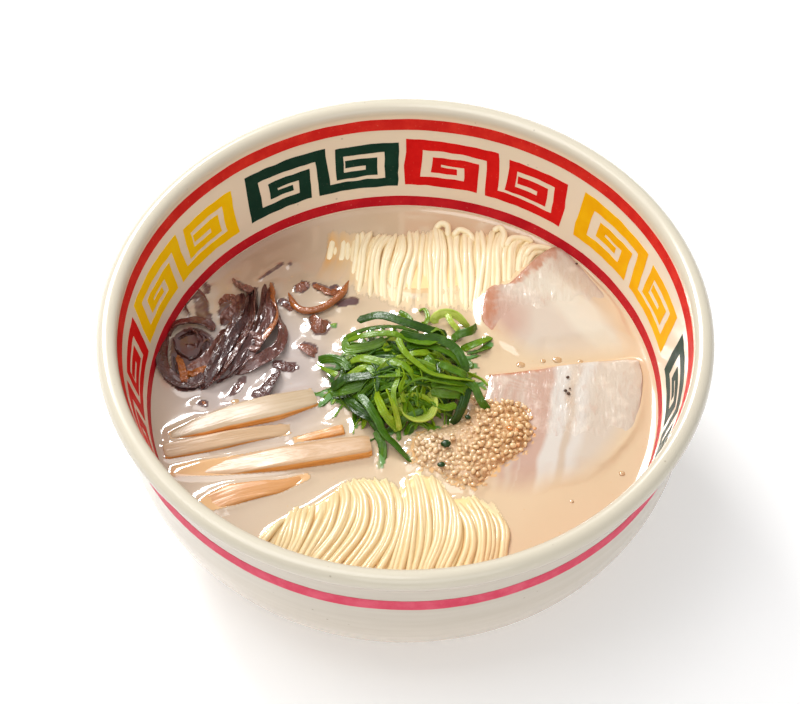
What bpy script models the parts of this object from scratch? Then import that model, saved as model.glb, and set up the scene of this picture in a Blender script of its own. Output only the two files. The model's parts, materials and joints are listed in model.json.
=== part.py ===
"""A bowl of ramen: a glazed bowl, its broth, and the noodles and toppings that lie in it.

Sizes are millimetres until a mesh is finished, and the objects come out in metres, +Z up. The
origin is the middle of the foot ring on the table, +X is right and +Y is the far side. Heights of
the contents are measured from the broth's surface, and every other height from the table.
"""
import math

import bmesh
import bpy
from mathutils import Vector

MM = 0.001

# Bowl
RIM_RADIUS = 100.0                       # to the outside of the lip
BOWL_HEIGHT = 84.0
LIP_TUBE = 3.35                          # half the thickness of the rolled lip
LIP_RADIUS = RIM_RADIUS - LIP_TUBE
LIP_CENTRE = BOWL_HEIGHT - LIP_TUBE
BELLY_RADIUS = 46.0                      # where the belly's arcs are centred, out from the axis
BELLY_HEIGHT = 53.35
OUTER_BELLY = 47.3                       # radius of the belly's outer arc
FLOOR = 12.0                             # top of the bowl's floor
INNER_BELLY = (39.85, BELLY_HEIGHT - FLOOR)   # half axes of the belly's inner arc
BELLY_END = 43.55                        # where the inner arc turns into the straight wall
WALL_LINE = ((85.6, 47.45), (92.1, 74.75), (93.4, 78.75))        # inside, going up
NECK_LINE = ((95.0, 75.6), (94.4, 73.0), (93.8, 62.0))   # outside, going down
FOOT_HEIGHT = 5.6
FOOT_LINE = ((48.6, 5.0), (47.2, 0.9), (46.3, 0.0), (42.6, 0.0), (41.8, 0.8), (41.2, FOOT_HEIGHT))
SEGMENTS = 48                            # round the bowl and the broth, so that their facets match

# Broth
BROTH_LEVEL = 42.15
TOUCH_GAP = 0.3                          # between the broth and the bowl
BED_GAP = 0.5                            # between a topping and what is cut to take it
WALL_GAP = 2.1                           # between a topping and the bowl's wall
OPEN_TOP = 9.0                           # how far a bed's cutter stands above its topping

# Meat and bamboo shoots
SLICE_THICKNESS = 6.0                    # below the broth; another 2 mm or so stands out of it
SHOOT_THICKNESS = 4.6
SHOOT_STATIONS = 7
SHOOT_CORNER = 0.8                       # how much a strip's long corners are taken off
THIN_SHARE = 0.25                        # and at most this share of a thin strip's width
BLUNT_END = 0.7                          # share of that by which its end sections are drawn in


def remove_old_objects():
    for old in list(bpy.data.objects):
        bpy.data.objects.remove(old)


def material(name, colour, roughness):
    made = bpy.data.materials.new(name)
    made.use_nodes = True
    shader = made.node_tree.nodes["Principled BSDF"]
    shader.inputs["Base Color"].default_value = (*colour, 1.0)
    shader.inputs["Roughness"].default_value = roughness
    shader.inputs["Metallic"].default_value = 0.0
    return made


def finished(bm, name, finish, sharp=40.0):
    """The bmesh, in millimetres, as a smooth-shaded object in metres."""
    bmesh.ops.recalc_face_normals(bm, faces=bm.faces)
    bmesh.ops.scale(bm, verts=bm.verts, vec=(MM, MM, MM))
    mesh = bpy.data.meshes.new(name)
    bm.to_mesh(mesh)
    bm.free()
    mesh.shade_smooth()
    mesh.set_sharp_from_angle(angle=math.radians(sharp))
    made = bpy.data.objects.new(name, mesh)
    bpy.context.collection.objects.link(made)
    if finish:
        mesh.materials.append(finish)
    else:
        made.hide_render = True
        made.display_type = "WIRE"
    return made


def cut(piece, cutters):
    """Takes the shapes of a collection of cutters out of the piece in one go."""
    cut_away = piece.modifiers.new(cutters.name, "BOOLEAN")
    cut_away.operation = "DIFFERENCE"
    cut_away.solver = "EXACT"
    cut_away.operand_type = "COLLECTION"
    cut_away.collection = cutters


def cutter_collection(name):
    made = bpy.data.collections.new(name)
    bpy.context.scene.collection.children.link(made)
    return made


# Turned pieces -----------------------------------------------------------------------------------

def arc(centre, radii, start, end, steps):
    """Points (radius, height) on an arc, angles in degrees up from the outward direction."""
    points = []
    for step in range(steps + 1):
        angle = math.radians(start + (end - start) * step / steps)
        points.append((centre[0] + radii[0] * math.cos(angle),
                       centre[1] + radii[1] * math.sin(angle)))
    return points


def belly_angle(height, half_axis):
    return math.degrees(math.asin((height - BELLY_HEIGHT) / half_axis))


def inner_radius(height):
    """The bowl's inner radius at a height above the table, up to the straight wall's end."""
    if height < BELLY_END:
        part = (height - BELLY_HEIGHT) / INNER_BELLY[1]
        return BELLY_RADIUS + INNER_BELLY[0] * math.sqrt(max(0.0, 1.0 - part * part))
    (low_r, low_z), (high_r, high_z) = WALL_LINE[:2]
    return low_r + (high_r - low_r) * (height - low_z) / (high_z - low_z)


def turned(name, profile, finish):
    """A solid of revolution from a profile whose two ends lie on the axis."""
    bm = bmesh.new()
    verts = [bm.verts.new((radius, 0.0, height)) for radius, height in profile]
    edges = [bm.edges.new(pair) for pair in zip(verts, verts[1:])]
    bmesh.ops.spin(bm, geom=verts + edges, cent=(0, 0, 0), axis=(0, 0, 1), dvec=(0, 0, 0),
                   angle=math.tau, steps=SEGMENTS, use_merge=True)
    bmesh.ops.remove_doubles(bm, verts=bm.verts, dist=0.001)
    return finished(bm, name, finish)


def bowl_profile():
    centre = (BELLY_RADIUS, BELLY_HEIGHT)
    profile = [(0.0, FLOOR)]
    profile += arc(centre, INNER_BELLY, -90.0, belly_angle(BELLY_END, INNER_BELLY[1]), 5)
    profile += WALL_LINE
    profile += arc((LIP_RADIUS, LIP_CENTRE), (LIP_TUBE, LIP_TUBE), 180.0, -90.0, 9)
    profile += NECK_LINE
    profile += arc(centre, (OUTER_BELLY, OUTER_BELLY), 0.0, -82.0, 7)
    profile += FOOT_LINE
    profile.append((0.0, FOOT_HEIGHT))
    return profile


def broth_profile():
    half_axes = (INNER_BELLY[0] - TOUCH_GAP, INNER_BELLY[1] - TOUCH_GAP)
    profile = [(0.0, FLOOR + TOUCH_GAP)]
    profile += arc((BELLY_RADIUS, BELLY_HEIGHT), half_axes, -90.0,
                   belly_angle(BROTH_LEVEL, half_axes[1]), 5)
    profile.append((0.0, BROTH_LEVEL))
    return profile


# Lofted pieces -----------------------------------------------------------------------------------

def curve_through(points, samples, closed):
    """Evenly spaced points on a smooth curve through the given ones."""
    points = [Vector(point) for point in points]
    count = len(points)
    spans = count if closed else count - 1
    fine = []
    for span in range(spans):
        if closed:
            near = [points[(span + step) % count] for step in (-1, 0, 1, 2)]
        else:
            near = [points[min(max(span + step, 0), count - 1)] for step in (-1, 0, 1, 2)]
        for step in range(16):
            t = step / 16
            fine.append(0.5 * (2 * near[1] + (near[2] - near[0]) * t
                               + (2 * near[0] - 5 * near[1] + 4 * near[2] - near[3]) * t ** 2
                               + (3 * near[1] - near[0] - 3 * near[2] + near[3]) * t ** 3))
    fine.append(points[0] if closed else points[-1])
    lengths = [0.0]
    for before, after in zip(fine, fine[1:]):
        lengths.append(lengths[-1] + (after - before).length)
    divisions = samples if closed else samples - 1
    even = []
    place = 0
    for sample in range(samples):
        wanted = lengths[-1] * sample / divisions
        while place < len(fine) - 2 and lengths[place + 1] < wanted:
            place += 1
        span_length = lengths[place + 1] - lengths[place]
        even.append(fine[place].lerp(fine[place + 1], (wanted - lengths[place]) / span_length))
    return even


def grown(outline, distance):
    """The outline, which runs counter-clockwise, moved outwards all round."""
    count = len(outline)
    moved = []
    for place in range(count):
        along = (outline[(place + 1) % count] - outline[place - 1]).normalized()
        moved.append(outline[place] + Vector((along.y, -along.x)) * distance)
    return moved


def off_the_wall(point, height, gap=WALL_GAP):
    """The point, drawn in where it would come nearer than the gap to the bowl's wall."""
    limit = inner_radius(BROTH_LEVEL + min(height, 0.0)) - gap
    return point * min(1.0, limit / point.length)


def loft(bm, rings):
    """A closed skin over rings of equally many points, with a fan at each end."""
    made = [[bm.verts.new(point) for point in ring] for ring in rings]
    for lower, upper in zip(made, made[1:]):
        for place in range(len(lower)):
            bm.faces.new((lower[place - 1], lower[place], upper[place], upper[place - 1]))
    for ring in (made[0], made[-1]):
        middle = sum((vert.co for vert in ring), Vector()) / len(ring)
        tip = bm.verts.new(middle)
        for place in range(len(ring)):
            bm.faces.new((ring[place - 1], ring[place], tip))


def level(x, y):
    return 0.0


def heap(name, finish, corners, levels, lift=level, samples=24, grow=0.0):
    """A solid lofted through scaled copies of one outline.

    levels holds (scale, height above the broth) from the bottom up, lift(x, y) raises or lowers
    what stands out of the broth, and a cutter is grown outwards, up above the broth and down below it.
    """
    outline = curve_through(corners, samples, closed=True)
    centre = sum(outline, Vector((0.0, 0.0))) / samples
    rings = []
    for scale, height in levels:
        flat = [off_the_wall(centre + (point - centre) * scale, height) for point in outline]
        ring = []
        for x, y in grown(flat, grow):
            z = BROTH_LEVEL + height + math.copysign(grow, height)
            ring.append((x, y, z + (lift(x, y) if height > 0.0 else 0.0)))
        rings.append(ring)
    bm = bmesh.new()
    loft(bm, rings)
    return finished(bm, name, finish)


def open_bed(name, corners, levels, samples):
    """The cutter of a heap's bed: its part under the broth, and straight up from there."""
    sunk = [pair for pair in levels if pair[1] < 0.0]
    widest = max(scale for scale, height in levels)
    sunk += [(widest, 0.0), (widest, OPEN_TOP)]
    return heap(name, None, corners, sunk, samples=samples, grow=BED_GAP)


def strip(name, finish, route, width, thickness, grow=0.0, top=0.0, sharp=40.0):
    """A bar of rounded rectangular section along a route of (x, y, height of its upper face).

    A cutter is grown all round, and its upper side is raised by top.
    """
    line = curve_through(route, SHOOT_STATIONS, closed=False)
    corner = min(SHOOT_CORNER, width * THIN_SHARE)
    rings = []
    for place, point in enumerate(line):
        ahead = (line[min(place + 1, len(line) - 1)] - line[max(place - 1, 0)]).xy.normalized()
        side = Vector((ahead.y, -ahead.x))
        at_end = place in (0, len(line) - 1)
        inset = corner * BLUNT_END if at_end else 0.0
        past = ahead * (grow if at_end else 0.0) * (-1 if place == 0 else 1)
        half = width / 2 + grow - inset
        upper = BROTH_LEVEL + point.z + grow + top - inset
        lower = BROTH_LEVEL + point.z - thickness - grow + inset
        ring = []
        for across, height in ((half, lower + corner), (half, upper - corner),
                               (half - corner, upper), (corner - half, upper),
                               (-half, upper - corner), (-half, lower + corner),
                               (corner - half, lower), (half - corner, lower)):
            spot = off_the_wall(point.xy + side * across + past, -thickness, WALL_GAP - grow)
            ring.append((spot.x, spot.y, height))
        rings.append(ring)
    bm = bmesh.new()
    loft(bm, rings)
    return finished(bm, name, finish, sharp)


# The contents ------------------------------------------------------------------------------------

NOODLES_BACK = ((-33.5, 63), (-28, 69), (-14, 71.5), (8, 71.5), (28, 69.5), (40, 66), (41, 61),
                (33, 50.5), (24, 43.5), (10, 38), (-4, 38), (-14, 42), (-24, 52.5))
NOODLES_FRONT = ((-49, -55), (-36, -44.5), (-25, -40), (-17, -33), (-6, -33.5), (3, -31),
                 (12, -34.5), (19, -40), (27, -42.5), (34, -50), (34, -60), (22, -68), (0, -71),
                 (-22, -68.5), (-38, -63))
SLICE_BACK = ((27, 44), (34, 48), (40, 55), (46, 62), (53, 65), (63, 53), (73, 38), (78, 22),
              (66, 17.5), (42, 17), (32, 25), (26, 34))
SLICE_FRONT = ((28, 8), (44, 11), (60, 13), (79, 14.5), (80, 6), (77, -8), (70, -20),
               (60, -30), (44, -37), (36, -38.5), (27, -36), (25, -20))
SCALLIONS = ((-25, 3), (-23, 14), (-16, 24), (-4, 26), (11, 23.5), (19.5, 18), (20, 5),
             (19.5, -6), (14, -14), (3, -18), (-7.5, -16), (-16, -8))
SESAME = ((20, 2), (29, 1.5), (37, 0), (42.5, -6), (42.5, -16), (37, -24), (30, -29),
          (24, -36), (16, -34), (8, -29), (2, -24), (2, -16), (10, -10))
EAR = ((-80, 17), (-76, 26), (-70, 30), (-65.5, 27), (-65, 18), (-67, 9), (-72, 3.5), (-78, 6))
BUNDLE = ((-56, 42), (-51, 44), (-46, 43), (-43, 36), (-41.5, 26), (-44, 16), (-51, 11.5),
          (-58, 4), (-66, -1), (-68, 2), (-63.5, 12), (-62, 22), (-59, 34))

SLICE_LEVELS = ((0.95, -SLICE_THICKNESS), (1.0, -4.6), (0.99, 1.6), (0.94, 2.4), (0.5, 2.6))
NOODLE_LEVELS = ((0.8, -13.0), (1.0, -1.0), (0.98, 1.6), (0.86, 3.6), (0.6, 4.8), (0.3, 5.2))
SCALLION_LEVELS = ((0.75, -7.0), (1.0, -0.6), (1.02, 3.5), (0.94, 7.5), (0.76, 11.5),
                   (0.5, 14.5), (0.24, 15.6))
SESAME_LEVELS = ((0.9, -3.0), (1.0, -0.5), (0.97, 3.2), (0.84, 5.0), (0.55, 6.4), (0.25, 6.8))
EAR_LEVELS = ((0.7, -7.0), (0.92, -3.0), (1.0, -0.6), (1.0, 2.6), (0.86, 3.6), (0.55, 0.8),
              (0.25, 0.2))
BUNDLE_LEVELS = ((0.72, -6.0), (0.92, -3.0), (1.0, -0.6), (0.92, 2.4), (0.62, 4.2), (0.25, 4.6))
FLAKE_LEVELS = ((0.6, -3.0), (1.0, -0.6), (0.9, 1.0), (0.5, 1.6))

# Bamboo shoots: the route of the upper face's middle, as (x, y, height), and the width
SHOOTS = (
    (((-75.5, -14.6, 2.2), (-58, -10.2, 2.9), (-43, -5.0, 3.0), (-29.5, 0.5, 2.6)), 7.6),
    (((-77, -22.6, 1.8), (-64, -19.6, 2.2), (-50, -15.7, 2.1), (-38, -13.4, 1.2)), 4.4),
    (((-36.5, -17.4, 0.8), (-28, -15.6, 1.4), (-20, -13.8, 1.4)), 3.4),
    (((-75, -30.5, 0.6), (-57, -28.5, 1.2), (-38, -26.0, 2.6), (-11.5, -21.0, 3.0)), 6.0),
    (((-64, -42.5, 0.5), (-53, -38.5, 0.9), (-42, -36.0, 0.9), (-31.5, -32.5, 0.6)), 6.4),
)

# Wood ear flakes: middle (x, y), length, width, and turn in degrees
FLAKES = (
    (-35.5, 49.0, 8.0, 4.5, 20.0),
    (-16, 35.5, 7.5, 4.0, -15.0),
    (-29, 29.5, 8.5, 5.5, 15.0),
    (-31.5, 20, 7.0, 5.5, 60.0),
    (-38.5, 10.5, 9.0, 4.0, 35.0),
    (-52, 0.5, 8.0, 3.0, 50.0),
)
CURL = ((-39.5, 43.5, 2.0), (-37.5, 37.5, 2.6), (-30, 34.5, 3.0), (-23.5, 37.5, 2.6),
        (-20.5, 43.5, 1.6))
CURL_WIDTH = 2.4
CURL_DEPTH = 6.0


def wavy(wave, lean, height):
    """A lift with long ridges: wave is their spacing, and lean how far they turn from +Y."""
    def lift(x, y):
        across = x * math.cos(math.radians(lean)) + y * math.sin(math.radians(lean))
        return height * math.sin(math.tau * across / wave + 0.6 * math.sin(y / wave))
    return lift


def knobbly(x, y):
    """The uneven top of the scallion heap."""
    return 1.1 * math.sin(x / 2.9 + 0.8) * math.cos(y / 3.3) + 0.7 * math.sin((x - y) / 1.9)


def grainy(x, y):
    """The uneven top of the sesame heap."""
    return 0.5 * math.sin(x / 1.7) * math.cos(y / 1.5 + 0.4)


def tilted(x_fall, y_fall, middle):
    """A lift that falls by so much for each millimetre to the right and to the front."""
    def lift(x, y):
        waviness = 0.25 * math.sin(x / 6.0) * math.cos(y / 7.0)
        return waviness - (x - middle[0]) * x_fall + (y - middle[1]) * y_fall
    return lift


def flake_outline(x, y, length, width, turn):
    """The corners of an uneven leaf shape."""
    corners = []
    for step in range(8):
        angle = math.tau * step / 8
        reach = 1.0 + 0.16 * math.sin(3 * angle + x)
        along = length / 2 * reach * math.cos(angle)
        across = width / 2 * reach * math.sin(angle)
        tilt = math.radians(turn)
        corners.append((x + along * math.cos(tilt) - across * math.sin(tilt),
                        y + along * math.sin(tilt) + across * math.cos(tilt)))
    return corners


def counter_clockwise(corners):
    """The same corners in counter-clockwise order."""
    area = sum(before[0] * after[1] - after[0] * before[1]
               for before, after in zip(corners, corners[1:] + corners[:1]))
    return corners if area > 0 else corners[::-1]


def lay_heap(beds, name, finish, corners, levels, lift=level, samples=24):
    """A heaped or flat topping, and its bed in the broth."""
    corners = counter_clockwise(tuple(corners))
    beds.objects.link(open_bed("bed_" + name, corners, levels, samples))
    return heap(name, finish, corners, levels, lift, samples)


def lay_strip(beds, name, finish, route, width, thickness):
    """A long topping, and its bed in the broth."""
    bed = strip("bed_" + name, None, route, width, thickness, grow=BED_GAP, top=OPEN_TOP)
    beds.objects.link(bed)
    return strip(name, finish, route, width, thickness)


def room_for(name, corners, levels, lift, samples):
    """A neighbour's shape, with the touching gap, as a cutter for what leans on it."""
    corners = counter_clockwise(tuple(corners))
    return heap("room_for_" + name, None, corners, levels, lift, samples, grow=BED_GAP)


def build():
    remove_old_objects()
    glaze = material("cream_glaze", (0.80, 0.76, 0.66), 0.15)
    milky = material("milky_broth", (0.72, 0.56, 0.40), 0.12)
    noodle = material("noodle", (0.84, 0.74, 0.48), 0.3)
    pork = material("braised_pork", (0.74, 0.58, 0.46), 0.3)
    bamboo = material("bamboo_shoot", (0.70, 0.44, 0.20), 0.3)
    wood_ear = material("wood_ear", (0.12, 0.06, 0.06), 0.2)
    green = material("scallion", (0.06, 0.22, 0.02), 0.35)
    seed = material("sesame", (0.62, 0.42, 0.18), 0.4)

    turned("bowl", bowl_profile(), glaze)
    broth = turned("broth", broth_profile(), milky)

    beds = cutter_collection("beds")
    front_wave = wavy(9.0, -12.0, 0.7)
    front_tilt = tilted(0.03, 0.03, (53, -12))
    lay_heap(beds, "noodles_back", noodle, NOODLES_BACK, NOODLE_LEVELS, wavy(9.0, 4.0, 0.7), 31)
    lay_heap(beds, "noodles_front", noodle, NOODLES_FRONT, NOODLE_LEVELS, front_wave, 31)
    lay_heap(beds, "pork_slice_back", pork, SLICE_BACK, SLICE_LEVELS, tilted(0.0, 0.03, (53, 38)))
    lay_heap(beds, "pork_slice_front", pork, SLICE_FRONT, SLICE_LEVELS, front_tilt)
    for place, (route, width) in enumerate(SHOOTS):
        name = "bamboo_shoot_%d" % (place + 1)
        lay_strip(beds, name, bamboo, route, width, SHOOT_THICKNESS)
    lay_heap(beds, "wood_ear_fold", wood_ear, EAR, EAR_LEVELS, samples=20)
    lay_heap(beds, "wood_ear_bundle", wood_ear, BUNDLE, BUNDLE_LEVELS, wavy(6.0, -20.0, 0.6), 26)
    lay_strip(beds, "wood_ear_curl", wood_ear, CURL, CURL_WIDTH, CURL_DEPTH)
    for place, flake in enumerate(FLAKES):
        name = "wood_ear_flake_%d" % (place + 1)
        lay_heap(beds, name, wood_ear, flake_outline(*flake), FLAKE_LEVELS, samples=10)
    lay_heap(beds, "scallion_heap", green, SCALLIONS, SCALLION_LEVELS, knobbly, 29)
    sesame = lay_heap(beds, "sesame_heap", seed, SESAME, SESAME_LEVELS, grainy, 24)
    cut(broth, beds)

    # The sesame leans on the scallions, and lies on the front slice and the noodles' ends.
    rooms = cutter_collection("rooms")
    rooms.objects.link(room_for("scallions", SCALLIONS, SCALLION_LEVELS, knobbly, 29))
    rooms.objects.link(room_for("slice", SLICE_FRONT, SLICE_LEVELS, front_tilt, 24))
    rooms.objects.link(room_for("noodles", NOODLES_FRONT, NOODLE_LEVELS, front_wave, 31))
    cut(sesame, rooms)


build()
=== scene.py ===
# %% [markdown]
# # A bowl of ramen
# A deep glazed bowl with a painted fret holds milky broth, two bundles of thin noodles, pork,
# bamboo shoots, wood ear, a heap of cut scallions and a spoonful of sesame. The solids of all of
# these are already packed as a frame that is never moved. This lesson builds the fine surfaces
# over them, one after the other. The broth comes last, because its surface takes its shape and
# some of its colour from all that lies in it.

# %% Load the frame
import json
import math
import random

import bmesh
import bpy
from mathutils import Matrix, Vector, noise
from mathutils.bvhtree import BVHTree

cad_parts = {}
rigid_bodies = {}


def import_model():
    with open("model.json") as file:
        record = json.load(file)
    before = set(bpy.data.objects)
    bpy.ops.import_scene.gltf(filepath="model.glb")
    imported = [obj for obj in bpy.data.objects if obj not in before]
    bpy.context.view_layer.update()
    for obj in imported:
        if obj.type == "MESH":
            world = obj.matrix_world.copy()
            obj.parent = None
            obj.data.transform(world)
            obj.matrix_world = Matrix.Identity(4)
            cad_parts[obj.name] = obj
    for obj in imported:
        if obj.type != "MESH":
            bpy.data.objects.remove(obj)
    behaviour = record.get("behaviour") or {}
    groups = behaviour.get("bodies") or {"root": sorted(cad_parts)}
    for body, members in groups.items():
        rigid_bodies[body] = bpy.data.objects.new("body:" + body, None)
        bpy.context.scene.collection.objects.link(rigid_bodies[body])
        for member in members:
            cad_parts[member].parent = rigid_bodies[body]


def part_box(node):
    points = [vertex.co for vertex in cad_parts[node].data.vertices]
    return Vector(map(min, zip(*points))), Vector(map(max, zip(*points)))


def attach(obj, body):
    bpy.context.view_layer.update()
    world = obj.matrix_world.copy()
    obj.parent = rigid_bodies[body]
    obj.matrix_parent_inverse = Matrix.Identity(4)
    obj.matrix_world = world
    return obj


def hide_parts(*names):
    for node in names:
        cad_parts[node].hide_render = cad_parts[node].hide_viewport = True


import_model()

packed = {made.name for made in bpy.context.scene.objects}
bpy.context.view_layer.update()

# %% [markdown]
# ## Sizes
# Everything below is thought out in millimetres, as a potter or a cook would, and scaled to metres
# when a mesh is finished. The broth's level and the bowl's height come from the frame, and the
# rest of the bowl's form repeats the few sizes that its solid was drawn with.

# %% Sizes in millimetres
MM = 0.001
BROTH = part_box("broth")[1].z / MM
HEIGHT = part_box("bowl")[1].z / MM
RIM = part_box("bowl")[1].x / MM
LIP = 3.35                                  # half the thickness of the rolled lip
BELLY = (46.0, 53.35)                       # centre of the belly's arcs, (radius, height)
INNER_BELLY = 39.85                         # half the width of the inner arc's ellipse
OUTER_BELLY = 47.3
FLOOR = 12.0
BELLY_TOP = 43.55                           # where the inner arc runs into the straight wall
WALL = ((85.6, 47.45), (92.1, 74.75), (93.4, 78.75))
NECK = ((95.0, 75.6), (94.4, 73.0), (94.1, 68.0), (93.8, 62.0), (93.5, 57.0))
FOOT = ((48.6, 5.0), (47.2, 0.9), (46.9, 0.3), (46.3, 0.0), (42.6, 0.0), (42.0, 0.3), (41.8, 0.8),
        (41.2, 5.6))


def wall_radius(height):
    """The inner radius of the bowl at a height above the table."""
    if height < BELLY_TOP:
        part = (height - BELLY[1]) / (BELLY[1] - FLOOR)
        return BELLY[0] + INNER_BELLY * math.sqrt(max(0.0, 1.0 - part * part))
    (low_r, low_z), (high_r, high_z) = WALL[0], WALL[1]
    if height > high_z:
        (low_r, low_z), (high_r, high_z) = WALL[1], WALL[2]
    return low_r + (high_r - low_r) * (height - low_z) / (high_z - low_z)


print("broth at %.2f mm, inside radius there %.2f mm" % (BROTH, wall_radius(BROTH)))

# %% [markdown]
# ## The camera
# The camera looks down on the bowl at 52 degrees through a long lens, from almost a metre, and is
# turned very slightly about its own axis. It is aimed a little below the rim's centre instead of
# being shifted, so the other views stay centred.

# %% Camera
SENSOR = 36.0
LENS = 135.045                              # focal length, both in millimetres
DISTANCE = 972.0
ELEVATION = math.radians(52.05)
ROLL = math.radians(-0.7)
AIM = (0.0017994, 0.0072976)                # slopes to the rim's centre, to the right and up


def look_from(elevation, roll):
    """Right, up and back of a camera that looks along +Y and down."""
    back = Vector((0.0, -math.cos(elevation), math.sin(elevation)))
    up = Vector((0.0, math.sin(elevation), math.cos(elevation)))
    right = Vector((1.0, 0.0, 0.0))
    turned = Matrix.Rotation(-roll, 3, back)
    return turned @ right, turned @ up, back


right, up, back = look_from(ELEVATION, ROLL)
rim_centre = Vector((0.0, 0.0, HEIGHT - LIP)) * MM
place = rim_centre + back * DISTANCE * MM
target = rim_centre - (right * AIM[0] + up * AIM[1]) * DISTANCE * MM
back = (place - target).normalized()
right = up.cross(back).normalized()
up = back.cross(right)
eye = bpy.data.cameras.new("camera")
eye.sensor_width = SENSOR
eye.lens = LENS
camera = bpy.data.objects.new("camera", eye)
camera.matrix_world = Matrix.Translation(place) @ Matrix((right, up, back)).transposed().to_4x4()
bpy.context.scene.collection.objects.link(camera)
bpy.context.scene.camera = camera
print("camera at", place, "lens", round(eye.lens, 1))

# %% [markdown]
# ## The light
# A broad window of light stands at the back left, with a soft panel overhead, a weak fill in front
# and a pale world all round. A second light in the window's place leaves matt colours alone and
# only adds to the gloss: it draws the white glints where the broth climbs against the food.

# %% Lights
bpy.context.scene.view_settings.view_transform = "Standard"


def softbox(name, direction, elevation, distance, size, power, colour):
    """A rectangular light that faces the bowl from a compass direction, 0 = +X and 90 = +Y."""
    lamp = bpy.data.lights.new(name, "AREA")
    lamp.shape = "RECTANGLE"
    lamp.size, lamp.size_y = size
    lamp.energy = power
    lamp.color = colour
    made = bpy.data.objects.new(name, lamp)
    turn, rise = math.radians(direction), math.radians(elevation)
    towards = Vector((math.cos(turn) * math.cos(rise), math.sin(turn) * math.cos(rise),
                      math.sin(rise)))
    made.location = towards * distance + Vector((0.0, 0.0, BROTH * MM))
    made.rotation_euler = towards.to_track_quat("Z", "Y").to_euler()
    bpy.context.scene.collection.objects.link(made)
    return made


softbox("window", 122.0, 42.0, 1.4, (0.5, 0.42), 13.0, (1.0, 0.99, 0.97))
softbox("overhead", 190.0, 72.0, 1.3, (0.9, 0.9), 8.0, (1.0, 0.99, 0.98))
softbox("front_fill", -80.0, 38.0, 1.6, (1.2, 0.8), 5.0, (1.0, 0.99, 0.98))
gleam = softbox("gleam", 120.0, 42.0, 1.4, (0.62, 0.32), 22.0, (1.0, 1.0, 1.0))
gleam.visible_diffuse = False
world = bpy.data.worlds.new("studio")
world.use_nodes = True
sky = world.node_tree.nodes["Background"]
sky.inputs["Color"].default_value = (0.95, 0.97, 1.0, 1.0)
sky.inputs["Strength"].default_value = 0.46
bpy.context.scene.world = world
print("lights set")

# %% [markdown]
# ## Shader maths as plain expressions
# A material is a small network of nodes. Written out node by node it is hard to read, so `Value`
# wraps one socket and lets Python's own operators add the Math nodes, and `Finish` makes every
# other node in one way: its type, its settings, and what goes into its sockets. All patterns read
# Object coordinates in millimetres, which stay with the piece when it is seen from elsewhere.

# %% Values and finishes
class Value:
    """A number that varies over a surface."""

    def __init__(self, finish, socket):
        self.finish = finish
        self.socket = socket

    def math(self, operation, *operands):
        made = self.finish.node("ShaderNodeMath", {"operation": operation},
                                dict(enumerate(operands)))
        return Value(self.finish, made.outputs[0])

    def __add__(self, other):
        return self.math("ADD", self, other)

    def __sub__(self, other):
        return self.math("SUBTRACT", self, other)

    def __mul__(self, other):
        return self.math("MULTIPLY", self, other)

    def __pow__(self, other):
        return self.math("POWER", self, other)

    __radd__ = __add__
    __rmul__ = __mul__

    def size(self):
        return self.math("ABSOLUTE", self)

    def between(self, low, high, start=0.0, end=1.0):
        """Runs from start to end while the value runs from low to high, smoothly and no further."""
        made = self.finish.node("ShaderNodeMapRange", {"interpolation_type": "SMOOTHSTEP"},
                                {0: self, 1: low, 2: high, 3: start, 4: end})
        return Value(self.finish, made.outputs[0])


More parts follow.
